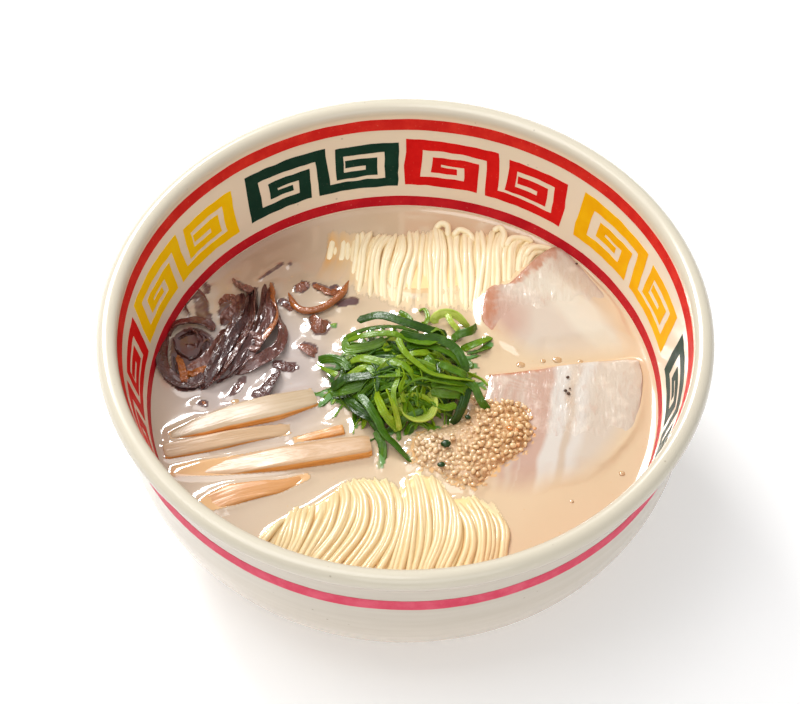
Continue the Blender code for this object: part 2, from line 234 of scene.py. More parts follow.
class Finish:
    """A Principled material whose nodes are made by one method."""

    def __init__(self, name, **constants):
        self.material = bpy.data.materials.new(name)
        self.material.use_nodes = True
        self.tree = self.material.node_tree
        self.shader = self.tree.nodes["Principled BSDF"]
        for socket, value in constants.items():
            self.shader.inputs[socket.replace("_", " ")].default_value = value
        self.place = self.node("ShaderNodeVectorMath", {"operation": "SCALE"},
                               {0: self.node("ShaderNodeTexCoord").outputs["Object"],
                                "Scale": 1.0 / MM}).outputs[0]

    def node(self, kind, settings=None, sockets=None):
        made = self.tree.nodes.new(kind)
        for name, value in (settings or {}).items():
            if name == "stops":
                stops = made.color_ramp.elements
                while len(stops) < len(value):
                    stops.new(0.5)
                for stop, (position, colour) in zip(stops, value):
                    stop.position = position
                    stop.color = (*colour, 1.0)
            else:
                setattr(made, name, value)
        for name, value in (sockets or {}).items():
            self.feed(made.inputs[name], value)
        return made

    def feed(self, socket, value):
        if isinstance(value, Value):
            self.tree.links.new(value.socket, socket)
        elif isinstance(value, bpy.types.NodeSocket):
            self.tree.links.new(value, socket)
        elif isinstance(value, tuple) and len(value) == 3 and socket.type == "RGBA":
            socket.default_value = (*value, 1.0)
        else:
            socket.default_value = value

    def axes(self):
        split = self.node("ShaderNodeSeparateXYZ", None, {0: self.place})
        return [Value(self, split.outputs[axis]) for axis in range(3)]

    def scaled(self, x, y, z, place=None):
        """The place with each axis multiplied, for grain that runs longer one way."""
        return self.node("ShaderNodeVectorMath", {"operation": "MULTIPLY"},
                         {0: place or self.place, 1: (x, y, z)}).outputs[0]

    def grain(self, spacing, detail=2.0, place=None, roughness=0.5):
        """Smooth noise about 0.5, with lumps about so many millimetres apart."""
        made = self.node("ShaderNodeTexNoise", None,
                         {"Vector": place or self.place, "Scale": 1.0 / spacing,
                          "Detail": detail, "Roughness": roughness})
        return Value(self, made.outputs[0])

    def cells(self, spacing, place=None):
        made = self.node("ShaderNodeTexVoronoi", None,
                         {"Vector": place or self.place, "Scale": 1.0 / spacing})
        return Value(self, made.outputs["Distance"])

    def attribute(self, name):
        return self.node("ShaderNodeAttribute", {"attribute_name": name})

    def mix(self, factor, first, second):
        made = self.node("ShaderNodeMix", {"data_type": "RGBA", "clamp_factor": True},
                         {0: factor, 6: first, 7: second})
        return made.outputs[2]

    def ramp(self, factor, *stops):
        made = self.node("ShaderNodeValToRGB", {"stops": stops}, {0: factor})
        return made.outputs[0]

    def use(self, socket, value):
        self.feed(self.shader.inputs[socket], value)
        return self

    def bump(self, height, distance, strength=1.0):
        """Relief: height is in units of distance, and distance is in millimetres."""
        made = self.node("ShaderNodeBump", None,
                         {"Height": height, "Distance": distance * MM, "Strength": strength})
        return self.use("Normal", made.outputs[0])


def srgb(red, green, blue):
    """Levels from 0 to 255, as on a screen, as the linear values a shader wants."""
    def linear(level):
        share = level / 255.0
        return share / 12.92 if share <= 0.04045 else ((share + 0.055) / 1.055) ** 2.4
    return linear(red), linear(green), linear(blue)


print("shader helpers ready")

# %% [markdown]
# ## Finishing a mesh
# Each piece is shaped as a bmesh in millimetres with its place in its vertices. `piece` turns it
# into an object in metres at the origin, shades it smooth, gives it its finish, and says which
# body it rides on and which imported solid it stands for.

# %% Piece helper
def piece(bm, name, finish, stands_for=(), sharp=40.0):
    bmesh.ops.scale(bm, verts=bm.verts, vec=(MM, MM, MM))
    mesh = bpy.data.meshes.new(name)
    bm.to_mesh(mesh)
    bm.free()
    mesh.shade_smooth()
    mesh.set_sharp_from_angle(angle=math.radians(sharp))
    mesh.materials.append(finish.material)
    made = bpy.data.objects.new(name, mesh)
    bpy.context.scene.collection.objects.link(made)
    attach(made, "root")
    if stands_for:
        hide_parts(*stands_for)
    print(name, "has", sum(len(face.vertices) - 2 for face in mesh.polygons), "triangles")
    return made


def outward(bm):
    bmesh.ops.recalc_face_normals(bm, faces=bm.faces)


# %% [markdown]
# ## Floor
# A plain pale table under the bowl catches its soft shadow. It isn't part of the object.

# %% Floor
floor_paint = Finish("floor_paint", Roughness=0.9, Emission_Color=(1.0, 1.0, 1.0, 1.0),
                     Emission_Strength=0.22)
floor_shade = floor_paint.grain(400.0)
floor_paint.use("Base Color", floor_paint.mix(floor_shade, (0.86, 0.86, 0.86), (0.9, 0.9, 0.9)))
bm = bmesh.new()
bmesh.ops.create_grid(bm, x_segments=4, y_segments=4, size=3.0)
floor_mesh = bpy.data.meshes.new("floor")
bm.to_mesh(floor_mesh)
bm.free()
floor = bpy.data.objects.new("floor", floor_mesh)
floor_mesh.materials.append(floor_paint.material)
bpy.context.scene.collection.objects.link(floor)
print("floor laid")

# %% [markdown]
# ## The bowl
# The real bowl is thrown or jiggered: one profile turned about one axis. `spin` does exactly that
# to a chain of vertices. The profile starts at the floor's centre, climbs the inside, rolls over
# the lip, comes down the outside and ends under the foot. Both ends lie on the axis, so merging
# doubles closes the two poles.

# %% Turned bowl
def arc(centre, radii, start, end, steps):
    """Points (radius, height) on an arc, angles in degrees up from the outward direction."""
    points = []
    for step in range(steps + 1):
        angle = math.radians(start + (end - start) * step / steps)
        points.append((centre[0] + radii[0] * math.cos(angle),
                       centre[1] + radii[1] * math.sin(angle)))
    return points


def turned(profile, steps, closed=False):
    """A bmesh spun all round the axis from a profile of (radius, height)."""
    bm = bmesh.new()
    chain = [bm.verts.new((radius, 0.0, height)) for radius, height in profile]
    links = [bm.edges.new(pair) for pair in zip(chain, chain[1:])]
    if closed:
        links.append(bm.edges.new((chain[-1], chain[0])))
    bmesh.ops.spin(bm, geom=chain + links, cent=(0, 0, 0), axis=(0, 0, 1), dvec=(0, 0, 0),
                   angle=math.tau, steps=steps, use_merge=True)
    bmesh.ops.remove_doubles(bm, verts=bm.verts, dist=0.0005)
    outward(bm)
    return bm


def bowl_profile():
    inner_axes = (INNER_BELLY, BELLY[1] - FLOOR)
    end = math.degrees(math.asin((BELLY_TOP - BELLY[1]) / inner_axes[1]))
    return ([(0.0, FLOOR)] + arc(BELLY, inner_axes, -90.0, end, 14) + list(WALL)
            + arc((RIM - LIP, HEIGHT - LIP), (LIP, LIP), 180.0, -90.0, 18) + list(NECK)
            + arc(BELLY, (OUTER_BELLY, OUTER_BELLY), 0.0, -82.0, 18) + list(FOOT)
            + [(0.0, FOOT[-1][1])])


# %% [markdown]
# The glaze is a clear gloss over a cream body. Inside it has gathered warmer and is flecked with
# tiny iron specks, the lip is a paler yellow where the glaze ran thin, and outside the throwing
# lines show as faint streaks round the bowl.

# %% Cream glaze
glaze = Finish("cream_glaze", Roughness=0.22, Coat_Weight=0.25, Coat_Roughness=0.06)
z = glaze.axes()[2]
inside = Value(glaze, glaze.attribute("inner").outputs["Fac"])
lip = z.between(HEIGHT - 4.5, HEIGHT - 1.5)
streak = glaze.grain(2.2, 3.0, glaze.scaled(0.05, 0.05, 1.0))
cloud = glaze.grain(26.0, 2.0)
speck = glaze.cells(5.0).between(0.04, 0.11, 1.0, 0.0) * glaze.grain(3.1).between(0.52, 0.6)
outer = glaze.mix(streak, srgb(192, 180, 162), srgb(209, 199, 184))
# Towards the foot the outside is painted warmer: painted shade and warm bounce light.
outer = glaze.mix(z.between(10.0, 58.0, 0.8, 0.0), outer, srgb(216, 196, 172))
inner = glaze.mix(cloud, srgb(236, 218, 192), srgb(241, 225, 201))
body = glaze.mix(inside, outer, inner)
body = glaze.mix(lip, body, srgb(210, 201, 181))
glaze.use("Base Color", glaze.mix(speck * 0.4, body, srgb(120, 92, 60)))
glaze.bump(glaze.grain(1.8, 2.0, glaze.scaled(0.04, 0.04, 1.0)) + cloud * 2.0, 0.05, 0.5)
bm = turned(bowl_profile(), 144)
inner_side = bm.verts.layers.float.new("inner")
for vert in bm.verts:
    limit = RIM - LIP if vert.co.z > HEIGHT - LIP else wall_radius(vert.co.z) + 0.5
    reach = math.hypot(vert.co.x, vert.co.y)
    vert[inner_side] = float(vert.co.z > FLOOR - 0.5 and reach < limit)
piece(bm, "thrown_bowl", glaze, ["bowl"])

# %% [markdown]
# ## Painted bands
# The bands and the fret are enamel: coloured glass painted on the glaze and fired again, so they
# stand a tenth of a millimetre proud and their edges waver with the brush. A band is a thin closed
# section spun round the bowl, its edges then moved a little by noise.

# %% Enamel and bands
def enamel(name, thick, thin, waver):
    """Fired enamel: a little paler where the brush left it thin."""
    made = Finish(name, Roughness=0.45, Specular_IOR_Level=0.08)
    wash = made.grain(7.0, 3.0, roughness=0.6).between(0.35, 0.75)
    fleck = made.grain(0.9, 1.0).between(0.68, 0.78)
    made.use("Base Color", made.mix(fleck * waver, made.mix(wash, thick, thin), srgb(226, 206, 172)))
    made.bump(made.grain(2.4, 2.0), 0.04, 0.6)
    return made


def wavering(bm, amount, spacing):
    """Moves every vertex up or down by a little noise, as an unsteady brush would."""
    for vert in bm.verts:
        vert.co.z += amount * noise.noise(vert.co / spacing)


def band(low, high, side, relief=0.12):
    """A painted ring on the wall between two (radius, height) points; side is -1 inside."""
    steps = 5
    face = [(low[0] + (high[0] - low[0]) * step / steps + side * relief,
             low[1] + (high[1] - low[1]) * step / steps) for step in range(steps + 1)]
    back = [(high[0] - side * relief, high[1]), (low[0] - side * relief, low[1])]
    bm = turned(face + back, 180, closed=True)
    wavering(bm, 0.22, 9.0)
    return bm


scarlet = enamel("scarlet_enamel", srgb(206, 34, 30), srgb(222, 52, 40), 0.1)
crimson = enamel("crimson_enamel", srgb(188, 22, 36), srgb(206, 36, 44), 0.15)
rose = enamel("rose_enamel", srgb(214, 66, 92), srgb(224, 92, 114), 0.1)
piece(band(WALL[1], WALL[2], -1), "upper_band", scarlet)
piece(band((wall_radius(BELLY_TOP), BELLY_TOP), WALL[0], -1), "lower_band", crimson)
LINE_LOW = HEIGHT - LIP - 21.2              # the outer line's lower edge above the table
LINE_TALL = 5.2
piece(band((93.66, LINE_LOW), (93.9, LINE_LOW + LINE_TALL), 1), "outer_line", rose)

# %% [markdown]
# ## The fret
# Nine square spirals run round the inside, in green, yellow and red. One is drawn flat, as a
# brush stroke: an edge as wide as the brush is extruded from corner to corner, each time to the
# mitre of that corner. Planes then cut the flat drawing into short pieces, so that it can bend,
# and it is wrapped on the slanting wall and thickened.

# %% Fret stroke
FRET_LOW = HEIGHT - LIP - 29.3              # the fret's lower edge above the table
FRET_TALL = 20.0
FRET_WIDE = 55.5
SPIRAL = ((17.2, 7.5), (10.1, 7.5), (10.1, 11.2), (21.9, 11.2), (21.9, 2.6), (2.7, 2.6),
          (2.7, 17.4), (28.6, 17.0), (29.4, 2.3), (53.0, 2.0), (53.0, 16.4), (35.8, 16.2),
          (35.4, 6.6), (46.4, 6.6), (46.4, 11.1), (37.6, 11.1))
BRUSH = (2.3, 3.1, 3.0, 4.6, 3.6, 5.0, 4.2, 4.3, 3.4, 4.5, 3.6, 3.0, 2.7, 3.9, 2.9)


def mitres(path, widths):
    """Left and right corner of the stroke at every point, where its two edges meet."""
    normals = [Vector((a.y - b.y, b.x - a.x)).normalized() for a, b in zip(path, path[1:])]
    corners = []
    for place, here in enumerate(path):
        first, second = max(place - 1, 0), min(place, len(normals) - 1)
        if first == second:
            reach = normals[first] * widths[first] / 2
        else:
            (ax, ay), (bx, by) = normals[first], normals[second]
            low, high = widths[first] / 2, widths[second] / 2
            reach = Vector((low * by - high * ay, high * ax - low * bx)) / (ax * by - ay * bx)
        corners.append((here + reach, here - reach))
    return corners


def stroke(bm, path, widths):
    """A flat band with mitred corners, extruded from corner to corner."""
    corners = mitres([Vector(point) for point in path], widths)
    ends = [bm.verts.new((*corner, 0.0)) for corner in corners[0]]
    front = bm.edges.new(ends)
    for left, right_side in corners[1:]:
        grown = bmesh.ops.extrude_edge_only(bm, edges=[front])["geom"]
        fresh = [part for part in grown if isinstance(part, bmesh.types.BMVert)]
        fresh.sort(key=lambda vert: (vert.co - ends[0].co).length)
        fresh[0].co = (*left, 0.0)
        fresh[1].co = (*right_side, 0.0)
        ends = fresh
        front = bm.edges.get(fresh)


def wrap(point, left_end, degrees):
    """The flat drawing's point on the wall: x runs clockwise from left_end, z is relief."""
    turn = math.radians(left_end - degrees * point.x / FRET_WIDE)
    height = FRET_LOW + point.y
    reach = wall_radius(height) - point.z
    return Vector((reach * math.cos(turn), reach * math.sin(turn), height))


def spiral(left_end, degrees, seed):
    """One spiral as a thin closed piece on the wall."""
    bm = bmesh.new()
    stroke(bm, SPIRAL, BRUSH)
    for axis, length, spacing in ((0, FRET_WIDE, 1.4), (1, FRET_TALL, 2.9)):
        for step in range(1, int(length / spacing)):
            spot, normal = Vector(), Vector()
            spot[axis], normal[axis] = step * spacing, 1.0
            bmesh.ops.bisect_plane(bm, geom=bm.verts[:] + bm.edges[:] + bm.faces[:],
                                   plane_co=spot, plane_no=normal)
    for vert in bm.verts:
        shake = Vector((vert.co.x / 3.6, vert.co.y / 3.6, seed * 7.3))
        drift = Vector((vert.co.x / 14.0, vert.co.y / 14.0, seed * 3.1))
        vert.co.x += 0.34 * noise.noise(shake) + 0.8 * noise.noise(drift)
        vert.co.y += 0.34 * noise.noise(shake + Vector((9.0, 4.0, 0.0)))
    back_side = bm.faces[:]
    raised = bmesh.ops.extrude_face_region(bm, geom=back_side)["geom"]
    top = [part for part in raised if isinstance(part, bmesh.types.BMVert)]
    for vert in bm.verts:
        vert.co.z = -0.1
    for vert in top:
        vert.co.z = 0.1
    for vert in bm.verts:
        vert.co = wrap(vert.co, left_end, degrees)
    outward(bm)
    return bm


def joined(parts):
    """One bmesh from many."""
    whole = bmesh.new()
    for part in parts:
        carrier = bpy.data.meshes.new("carrier")
        part.to_mesh(carrier)
        part.free()
        whole.from_mesh(carrier)
        bpy.data.meshes.remove(carrier)
    return whole


bottle_green = enamel("bottle_green_enamel", srgb(14, 50, 38), srgb(22, 60, 46), 0.05)
golden = enamel("golden_enamel", srgb(246, 176, 0), srgb(250, 190, 4), 0.04)
# The yellow spiral on the left, in the bowl's shade, is a brighter copy of the golden enamel: painted
# light.
lemon = enamel("lemon_enamel", srgb(255, 200, 0), srgb(255, 210, 6), 0.04)
fret_red = enamel("fret_red_enamel", srgb(212, 18, 20), srgb(224, 28, 26), 0.05)
FRET = (("green", bottle_green, ((4.9, 36.5), (127.9, 35.8), (250.0, 38.0))),
        ("yellow", golden, ((48.6, 39.3), (290.0, 38.0))),
        ("lemon", lemon, ((170.0, 38.6),)),
        ("red", fret_red, ((90.6, 38.2), (210.0, 38.4), (328.5, 36.5))))
for name, paint, places in FRET:
    spirals = [spiral(left_end, degrees, left_end) for left_end, degrees in places]
    piece(joined(spirals), "fret_" + name, paint, sharp=30.0)

# %% [markdown]
# ## Strips and strands
# Noodles, shoots, ribbons of wood ear and shreds of scallion are all long bodies with one section.
# A straight closed bar is extruded once, slice by slice, from a circle. Each strand is a copy of
# it whose vertices are carried over to a smooth route. Every vertex keeps its place in the grain,
# across, along and up the section, and every strand its own tone, so that one finish suits them
# all. The grain's third number also has a step for the tone and one for the strand, so that two
# strands don't show the same noise.

# %% Bars bent along routes
UP = Vector((0.0, 0.0, 1.0))
BARS = {}
TONE_STEP = 41.0                            # how far apart in the grain two tones lie
STRAND_STEP = 0.01                          # and two strands, per vertex between them


def verts_of(geometry):
    return [part for part in geometry if isinstance(part, bmesh.types.BMVert)]


def ring_extruded(bm, edges):
    """Extrudes a ring of edges and returns the new vertices and the new ring."""
    grown = bmesh.ops.extrude_edge_only(bm, edges=edges)["geom"]
    fresh = verts_of(grown)
    known = set(fresh)
    ring = [part for part in grown if isinstance(part, bmesh.types.BMEdge)
            and part.verts[0] in known and part.verts[1] in known]
    return fresh, ring


def straight_bar(sides, steps):
    """A closed bar of radius 1 that climbs by 1 per slice."""
    if (sides, steps) not in BARS:
        bm = bmesh.new()
        bmesh.ops.create_circle(bm, segments=sides, radius=1.0, cap_ends=False)
        ring = bm.edges[:]
        for _ in range(steps):
            fresh, ring = ring_extruded(bm, ring)
            bmesh.ops.translate(bm, verts=fresh, vec=UP)
        bmesh.ops.holes_fill(bm, edges=[edge for edge in bm.edges if edge.is_boundary])
        outward(bm)
        BARS[sides, steps] = bpy.data.meshes.new("bar")
        bm.to_mesh(BARS[sides, steps])
        bm.free()
    return BARS[sides, steps]


def smooth_route(points, steps):
    """A smooth curve through the points, cut into steps."""
    points = [Vector(point) for point in points]
    points = [points[0] * 2 - points[1]] + points + [points[-1] * 2 - points[-2]]
    spans = len(points) - 3
    route = []
    for step in range(steps + 1):
        index = min(int(step / steps * spans), spans - 1)
        t = step / steps * spans - index
        a, b, c, d = points[index:index + 4]
        route.append((b * 2 + (c - a) * t + (a * 2 - b * 5 + c * 4 - d) * t ** 2
                      + (b * 3 - a - c * 3 + d) * t ** 3) / 2)
    return route


def over_broth(points, steps, lie=0.0):
    """A smooth route through points whose heights are over the broth, or lie deeper than that."""
    return smooth_route([(x, y, BROTH + z - lie) for x, y, z in points], steps)


def strand_mesh():
    bm = bmesh.new()
    bm.verts.layers.float.new("tone")
    bm.verts.layers.float_vector.new("grain")
    return bm


def frames_along(route):
    """At every point of a route, its centre, its level sideways direction and its lift."""
    frames = []
    side = None
    for place, here in enumerate(route):
        along = (route[min(place + 1, len(route) - 1)] - route[max(place - 1, 0)]).normalized()
        side = side - along * side.dot(along) if side else along.cross(UP)
        side = side.normalized()
        frames.append((here, side, side.cross(along)))
    return frames


def bend(bm, route, section, sides=8, tone=0.5, roll=0.0, twist=0.0):
    """Adds one strand; section(share, angle) gives its sideways and upward reach in mm."""
    steps = len(route) - 1
    first = len(bm.verts)
    bm.from_mesh(straight_bar(sides, steps))
    bm.verts.ensure_lookup_table()
    tones = bm.verts.layers.float["tone"]
    grains = bm.verts.layers.float_vector["grain"]
    frames = frames_along(route)
    length = sum((b - a).length for a, b in zip(route, route[1:]))
    for vert in bm.verts[first:]:
        step = round(vert.co.z)
        share = step / steps
        centre, side, lift = frames[step]
        across, high = section(share, math.atan2(vert.co.y, vert.co.x))
        turn = roll + twist * (share - 0.5)
        sideways = across * math.cos(turn) - high * math.sin(turn)
        upward = across * math.sin(turn) + high * math.cos(turn)
        vert.co = centre + side * sideways + lift * upward
        vert[tones] = tone
        vert[grains] = Vector((across, share * length, high + tone * TONE_STEP + first * STRAND_STEP))


def taper(share, ends):
    """How much of its full section a strand has near its ends."""
    return math.sqrt(min(1.0, max(0.03, min(share, 1.0 - share) / ends)))


def oval(wide, thick, ends=0.08):
    def section(share, angle):
        full = taper(share, ends) / 2
        return wide * full * math.cos(angle), thick * full * math.sin(angle)
    return section


def smooth_loop(outline, count):
    """Evenly many points on a smooth closed curve through an outline of (x, y)."""
    points = [Vector((*point[:2], 0.0)) for point in outline]
    loop = []
    for step in range(count):
        place = step / count * len(points)
        index = int(place)
        t = place - index
        a, b, c, d = (points[(index + shift - 1) % len(points)] for shift in range(4))
        loop.append((b * 2 + (c - a) * t + (a * 2 - b * 5 + c * 4 - d) * t ** 2
                     + (b * 3 - a - c * 3 + d) * t ** 3) / 2)
    return loop


def mound(outline, rings, count=64):
    """A closed body over an outline: each ring is (size of the outline, height above broth)."""
    loop = smooth_loop(outline, count)
    middle = sum(loop, Vector()) / count
    bm = strand_mesh()
    bmesh.ops.create_circle(bm, segments=count, radius=1.0, cap_ends=False)
    ring = bm.edges[:]
    fresh = bm.verts[:]
    for order, (size, height) in enumerate(rings):
        if order:
            fresh, ring = ring_extruded(bm, ring)
        for vert in fresh:
            step = round(math.atan2(vert.co.y, vert.co.x) / math.tau * count) % count
            if order:
                step = min(range(count), key=lambda at: (last[at] - vert.co).length_squared)
            vert.co = middle + (loop[step] - middle) * size + UP * (BROTH + height)
        last = [middle + (point - middle) * size + UP * (BROTH + height) for point in loop]
    bmesh.ops.holes_fill(bm, edges=[edge for edge in bm.edges if edge.is_boundary])
    outward(bm)
    return bm


print("strand helpers ready")

# %% [markdown]
# ## Noodles
# The cook combs the noodles straight and folds them in. A few guide routes follow the locks that
# show, and every noodle runs somewhere between two guides. Each bundle is laid in two layers over
# a low core, so that the gaps between the strands look onto a warm bed and not through the bundle.

# %% Noodle finish
def noodle_finish(name, deep, pale, side_shade_colour):
    """Boiled wheat: paler along the middle of a strand, with painted shade yellower at its sides.

    A weak glow of its own stands for the light that wanders through the wet strands."""
    made = Finish(name, Roughness=0.38, Coat_Weight=0.3, Coat_Roughness=0.08,
                  Specular_IOR_Level=0.25, Emission_Color=(1.0, 0.74, 0.4, 1.0),
                  Emission_Strength=0.11)
    grain_place = made.attribute("grain").outputs["Vector"]
    tone = Value(made, made.attribute("tone").outputs["Fac"])
    across = made.node("ShaderNodeSeparateXYZ", None, {0: grain_place})
    # Painted shade: the sides of a strand mix towards the darker side colour.
    edge = (Value(made, across.outputs[0]) * 0.9).size().between(0.35, 1.05)
    straw = made.mix(made.grain(3.0, 2.0, grain_place), deep, pale)
    straw = made.mix(edge * 0.5, straw, side_shade_colour)
    made.use("Base Color", made.mix(tone.between(0.0, 1.0, 0.4, 0.0), straw, side_shade_colour))
    return made.bump(made.grain(0.5, 1.0, made.scaled(2.0, 0.12, 1.0, grain_place)), 0.05, 0.5)


noodle = noodle_finish("noodle", srgb(232, 218, 180), srgb(240, 230, 200), srgb(226, 200, 150))
# A darker copy of the noodle finish, for the front bundle.
wet_noodle = noodle_finish("wet_noodle", srgb(212, 190, 142), srgb(224, 208, 166), srgb(208, 172, 112))
# The bed under the strands glows a little of its own: painted light that lifts the shade in the gaps
# between them.
glowing_bed = Finish("noodle_gap", Roughness=0.3, Emission_Color=(1.0, 0.66, 0.3, 1.0),
             Emission_Strength=0.18)
glowing_bed.use("Base Color", glowing_bed.mix(glowing_bed.grain(6.0), srgb(236, 192, 132), srgb(244, 208, 154)))

# %% [markdown]
# A guide is four places on the broth, in millimetres from the bowl's middle, from the top of a lock
# to where it sinks. The heights over the broth are the same for every noodle of a bundle, but its
# ends sink deeper, and a slow unevenness and a little chance move every strand.

# %% Noodle bundles
FRONT_GUIDES = (
    ((-38.8, -50.2), (-41.6, -52.4), (-45.5, -56.6), (-50.0, -59.4)),
    ((-34.4, -44.6), (-34.8, -50.2), (-35.7, -57.1), (-38.4, -63.4)),
    ((-27.5, -43.8), (-28.4, -50.1), (-31.1, -57.1), (-34.3, -64.0)),
    ((-20.7, -35.9), (-19.9, -44.4), (-23.7, -54.9), (-30.9, -65.3)),
    ((-16.7, -33.0), (-12.4, -42.9), (-13.9, -54.7), (-24.5, -68.6)),
    ((-12.6, -32.9), (-7.2, -44.2), (-8.7, -56.7), (-17.6, -69.9)),
    ((-5.0, -33.5), (-2.0, -44.1), (-4.1, -57.4), (-11.9, -70.5)),
    ((-1.5, -37.0), (-0.2, -47.6), (-1.8, -59.4), (-5.7, -70.4)),
    ((2.5, -30.6), (4.1, -44.0), (4.5, -57.9), (2.3, -70.3)),
    ((5.5, -30.5), (7.9, -44.0), (8.5, -56.5), (4.6, -70.3)),
    ((10.7, -32.6), (13.6, -43.9), (13.7, -56.4), (8.6, -69.5)),
    ((15.4, -42.4), (20.0, -50.8), (20.5, -59.8), (17.1, -68.7)),
    ((20.0, -38.8), (24.0, -49.3), (25.1, -58.3), (23.4, -67.9)),
    ((24.7, -40.2), (28.7, -49.3), (29.4, -58.3), (27.4, -66.5)),
    ((29.9, -42.9), (33.2, -52.0), (33.7, -58.9), (32.5, -65.1)))
BACK_GUIDES = (
    ((-27.3, 72.2), (-28.3, 64.7), (-30.4, 58.7), (-33.1, 52.1)),
    ((-21.5, 72.3), (-20.8, 64.1), (-21.8, 58.1), (-25.0, 50.7)),
    ((-15.2, 72.4), (-15.6, 64.9), (-16.6, 58.2), (-17.6, 48.6)),
    ((-11.7, 71.7), (-13.9, 63.4), (-15.5, 56.0), (-16.7, 45.7)),
    ((-5.9, 70.3), (-9.6, 63.5), (-10.9, 55.3), (-10.7, 45.1)),
    ((-1.3, 71.1), (-1.8, 62.2), (-4.0, 53.2), (-4.4, 41.6)),
    ((3.3, 72.7), (3.4, 62.2), (0.3, 52.6), (-0.4, 39.5)),
    ((8.5, 72.8), (6.8, 62.3), (8.0, 51.2), (8.1, 38.9)),
    ((11.9, 74.3), (13.7, 63.9), (13.7, 52.8), (14.3, 39.0)),
    ((18.3, 72.2), (18.3, 61.7), (19.7, 51.4), (20.5, 40.5)),
    ((25.8, 72.3), (26.3, 61.9), (25.7, 51.5), (23.3, 39.1)),
    ((32.7, 73.2), (30.1, 64.1), (30.0, 54.5), (29.6, 43.5)),
    ((35.6, 71.0), (33.2, 62.7), (33.4, 55.3), (33.6, 47.3)),
    ((40.8, 70.3), (37.0, 65.0), (36.3, 59.0), (36.2, 52.4)),
    ((48.2, 65.2), (44.1, 62.9), (41.8, 59.9), (40.0, 56.2)))


NOODLE_WIDTHS = (1.8, 2.3)


def evenly(guides, count):
    """Places among the guides that lie about equally far apart on the broth."""
    gaps = [(Vector(a[1]) - Vector(b[1])).length for a, b in zip(guides, guides[1:])]
    for order in range(count):
        reach = (order + 0.5) / count * sum(gaps)
        index = 0
        while reach > gaps[index]:
            reach -= gaps[index]
            index += 1
        yield index + reach / gaps[index]


def noodles(guides, count, heights, drop, dip, sunk, chance):
    """Strands between the guides; heights are over the broth at the four points of a guide.

    drop is how much lower the second layer lies, dip the depth of the slow unevenness, and
    sunk(place) how deep the bundle lies at a place among the guides."""
    bm = strand_mesh()
    for layer in range(2):
        for place in evenly(guides, count - 6 * layer):
            place = min(len(guides) - 1.001, max(0.0, place + chance.uniform(-0.2, 0.2)))
            index = int(place)
            share = place - index
            uneven = noise.noise(Vector((place * 1.9, layer * 3.0, 7.0)))
            depth = sunk(place) + layer * drop + dip * uneven + chance.uniform(-0.35, 0.35)
            points = []
            for order, (a, b) in enumerate(zip(guides[index], guides[index + 1])):
                spot = Vector(a).lerp(Vector(b), share)
                shake = noise.noise(Vector((place * 2.3, order * 1.7, layer * 9.0)))
                reach = (order - 1.5) * chance.uniform(0.0, 1.3)
                points.append((spot.x + 0.9 * shake + chance.uniform(-0.35, 0.35),
                               spot.y - reach, BROTH + heights[order] - depth))
            wide = chance.uniform(*NOODLE_WIDTHS)
            bend(bm, smooth_route(points, 26), oval(wide, wide * 0.92), 10,
                 tone=chance.uniform(0.35, 1.0) - 0.25 * layer)
    return bm


FRONT_CORE = ((-46, -56), (-37, -48), (-30, -43), (-22, -36.5), (-16, -33), (-9, -33), (-4, -35),
              (-1, -38), (3, -31.5), (8, -31), (12, -35), (15, -41.5), (20, -39.5), (26, -41.5),
              (31, -46), (33, -53), (30, -61), (20, -66), (0, -68), (-20, -66), (-36, -61))
BACK_CORE = ((-15, 58), (-14, 65), (-8, 68), (8, 69), (26, 68), (34, 65), (35, 59), (29, 50),
             (22, 46), (9, 44), (-2, 44), (-9, 48), (-13, 53))
chance = random.Random(4)
bm = noodles(FRONT_GUIDES, 54, heights=(0.0, 2.6, 2.8, 0.8), drop=1.0, dip=0.5,
             sunk=lambda place: max(0.0, place - 12.2) * 1.3 + max(0.0, 1.2 - place) * 0.8,
             chance=chance)
piece(bm, "front_noodles", wet_noodle, ["noodles_front"])
bm = noodles(BACK_GUIDES, 56, heights=(0.7, 2.2, 0.9, -1.3), drop=1.0, dip=2.2,
             sunk=lambda place: max(0.0, 3.2 - place) * 1.15 + max(0.0, place - 12.5) * 0.5,
             chance=chance)
LOOPS = (((10.0, 74.2, 1.0), (12.0, 75.4, 2.4), (14.2, 73.8, 3.0), (14.4, 69.5, 2.6)),
         ((16.0, 70.5, 1.4), (18.5, 72.4, 2.8), (22.0, 71.0, 2.0), (23.0, 68.0, 1.0)),
         ((34.5, 65.0, 2.6), (36.5, 68.6, 3.0), (41.5, 69.6, 1.8), (44.0, 69.0, 0.4)),
         ((41.0, 61.5, 1.6), (43.6, 64.8, 2.6), (48.4, 66.0, 1.4), (50.4, 65.6, 0.2)),
         ((30.0, 73.6, 0.8), (32.6, 74.0, 2.2), (34.0, 70.0, 2.8), (33.0, 64.0, 2.4)))
for points in LOOPS:
    bend(bm, over_broth(points, 24), oval(2.3, 2.1), 10, tone=0.9)
piece(bm, "back_noodles", noodle, ["noodles_back"])
piece(mound(FRONT_CORE, ((0.8, -7), (1.0, -5), (1.0, -1.2), (0.92, 1.1), (0.7, 1.9), (0.2, 2.0))),
      "front_noodle_core", glowing_bed, ["noodles_front"])
piece(mound(BACK_CORE, ((0.8, -7), (0.95, -5), (0.95, -1.8), (0.85, 0.1), (0.65, 0.9), (0.2, 1.0))),
      "back_noodle_core", glowing_bed, ["noodles_back"])

# %% [markdown]
# ## Bamboo shoots
# Simmered shoots are cut with the grain into bars with a nearly square section, ribbed along
# their top by the fibres. The section is a square rounded at its corners, and the ribs are a
# low wave across it that changes slowly along the bar.

